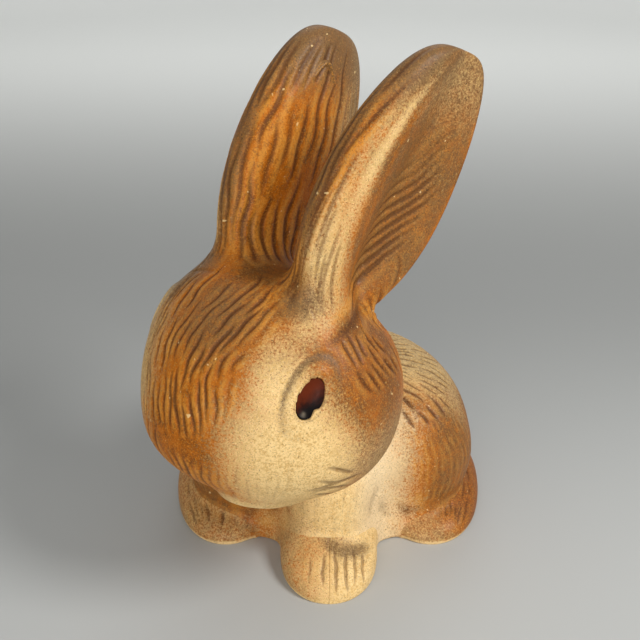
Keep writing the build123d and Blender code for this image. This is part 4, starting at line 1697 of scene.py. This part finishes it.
class RABBIT_OT_hind_feet(BuildStep, Operator):
    """Build the two hind feet with their toe grooves and combed heels"""

    bl_idname = "rabbit.hind_feet"
    bl_label = "Hind feet"

    def build(self, scene, sizes):
        build_lobes(scene, sizes, "foot", "hind_foot", "foot_glaze")


def build_lobes(scene, sizes, kind, node, slot):
    """Builds the two feet or the two paws."""
    joint, depth = sizes.in_millimetres("foot_joint", "groove_depth")
    strokes = lower_strokes(sizes)
    for name in SIDES:
        points = lobe_skin(kind, name, joint)
        points, fields = dress(points, strokes, paint_lobe(kind, name, points), depth)
        points[..., 2] = np.maximum(points[..., 2], 0)
        piece = f"{name}_{node}_glazed"
        write_glazed(scene, piece, points, fields, slot, f"{name}_{node}")


def ball(down, around):
    """Directions by the angle from straight back and the angle round that axis."""
    across = np.sin(down)
    return np.stack([across * np.cos(around), np.cos(down) + 0 * around, across * np.sin(around)], -1)


class RABBIT_OT_tail(BuildStep, Operator):
    """Build the round tail with its joint to the rump"""

    bl_idname = "rabbit.tail"
    bl_label = "Tail"

    def build(self, scene, sizes):
        joint, half_width, depth = sizes.in_millimetres("foot_joint", "groove_width", "groove_depth")
        local = ball(np.linspace(0, math.pi, TAIL_ROWS)[:, None], full_turn(TAIL_COLUMNS))
        points = TAIL_CENTRE + TAIL_RADIUS * local
        random = np.random.default_rng(SEEDS["tail"])
        strokes = []
        for index, angle in enumerate(np.arange(0, 360, 15.0)):
            reach = np.radians(np.linspace(random.uniform(12, 34), random.uniform(60, 90), 16))
            turn = np.radians(angle + 4 * lane(random, index, 2.0)(reach))
            strokes.append((TAIL_CENTRE + TAIL_RADIUS * ball(reach, turn), half_width, depth))
        points = joined(points, local, [(body_measure, joint)])
        points, fields = dress(points, strokes, paint_tail(points), depth)
        write_glazed(scene, "tail_glazed", points, fields, "tail_glaze", "tail")


class RABBIT_OT_base(BuildStep, Operator):
    """Give the CAD base plate its bare clay"""

    bl_idname = "rabbit.base"
    bl_label = "Base plate"

    def build(self, scene, sizes):
        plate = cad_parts["base_plate"]
        plate.data.materials.clear()
        plate.data.materials.append(clay_material(scene.rabbit_colours))


def set_floor(scene, radius):
    """Sets the round floor, which bends up into a backdrop far from the rabbit."""
    reach = np.linspace(0, 1, FLOOR_ROWS)[:, None] * radius
    around = full_turn(FLOOR_COLUMNS)
    rise = FLOOR_RISE_SHARE * radius * ease(0.45, 1.25, reach / radius)
    places = np.stack([reach * np.cos(around), reach * np.sin(around), rise + 0 * around], -1)
    places = np.concatenate([places[1:].reshape(-1, 3), places[0, :1]])
    quads, fan, _ = ring_faces(FLOOR_ROWS - 1, FLOOR_COLUMNS)
    mesh = bpy.data.meshes.new("floor")
    mesh.from_pydata(places.tolist(), [], quads.tolist() + fan.tolist())
    mesh.polygons.foreach_set("use_smooth", np.ones(len(mesh.polygons), bool))
    mesh.materials.append(floor_material(scene.rabbit_colours))
    floor = bpy.data.objects.new("floor", mesh)
    scene.collection.objects.link(floor)
    floor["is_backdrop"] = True


def set_aimed(scene, name, data, place):
    """Sets a lamp or the camera at a place, looking at the camera's target."""
    holder = bpy.data.objects.new(name, data)
    holder.location = place
    aim = Vector(CAMERA_TARGET) - place
    holder.rotation_euler = aim.to_track_quat("-Z", "Y").to_euler()
    scene.collection.objects.link(holder)
    return holder


class RABBIT_OT_stage(BuildStep, Operator):
    """Set the round floor, the lamps, the world and the camera"""

    bl_idname = "rabbit.stage"
    bl_label = "Stage"

    def build(self, scene, sizes):
        set_floor(scene, sizes.floor_radius)
        for name, place, size, power in LAMPS:
            lamp = bpy.data.lights.new(name, "AREA")
            lamp.shape = "DISK"
            lamp.size = size
            lamp.energy = power
            set_aimed(scene, name, lamp, Vector(place))
        world = bpy.data.worlds.new("studio")
        world.use_nodes = True
        background = world.node_tree.nodes["Background"]
        background.inputs["Color"].default_value = WORLD_COLOUR
        background.inputs["Strength"].default_value = WORLD_STRENGTH
        scene.world = world
        camera = bpy.data.cameras.new("camera")
        camera.lens = CAMERA_FOCUS_SHARE * camera.sensor_width
        rise = math.radians(CAMERA_ELEVATION)
        away = Vector((0, -math.cos(rise), math.sin(rise)))
        scene.camera = set_aimed(scene, "camera", camera, Vector(CAMERA_TARGET) + away * CAMERA_DISTANCE)
        scene.view_settings.view_transform = "Standard"


OPERATORS = (
    RABBIT_OT_stage,
    RABBIT_OT_head,
    RABBIT_OT_ears,
    RABBIT_OT_eyes,
    RABBIT_OT_body,
    RABBIT_OT_forepaws,
    RABBIT_OT_hind_feet,
    RABBIT_OT_tail,
    RABBIT_OT_base,
)


class RABBIT_PT_sidebar(Panel):
    """Lists the pieces of the rabbit"""

    bl_idname = "RABBIT_PT_sidebar"
    bl_label = "Rabbit figurine"
    bl_space_type = "VIEW_3D"
    bl_region_type = "UI"
    bl_category = "Rabbit"

    def draw(self, context):
        for operator in OPERATORS:
            self.layout.operator(operator.bl_idname)
        for group in (context.scene.rabbit_sizes, context.scene.rabbit_colours):
            for name in group.__annotations__:
                self.layout.prop(group, name)


CLASSES = (RabbitSizes, RabbitColours, *OPERATORS, RABBIT_PT_sidebar)


def register():
    """Adds the classes and the scene's two groups of properties."""
    for cls in CLASSES:
        bpy.utils.register_class(cls)
    bpy.types.Scene.rabbit_sizes = PointerProperty(type=RabbitSizes)
    bpy.types.Scene.rabbit_colours = PointerProperty(type=RabbitColours)


def unregister():
    """Takes them away again."""
    del bpy.types.Scene.rabbit_colours
    del bpy.types.Scene.rabbit_sizes
    for cls in reversed(CLASSES):
        bpy.utils.unregister_class(cls)


def main():
    """Registers the add-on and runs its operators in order."""
    register()
    for operator in OPERATORS:
        group, name = operator.bl_idname.split(".")
        getattr(getattr(bpy.ops, group), name)()
    boxes = {"cad": cad_box, "visual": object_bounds()}
    {name: [[float(v) for v in corner] for corner in box] for name, box in boxes.items()}


if __name__ == "__main__":
    main()
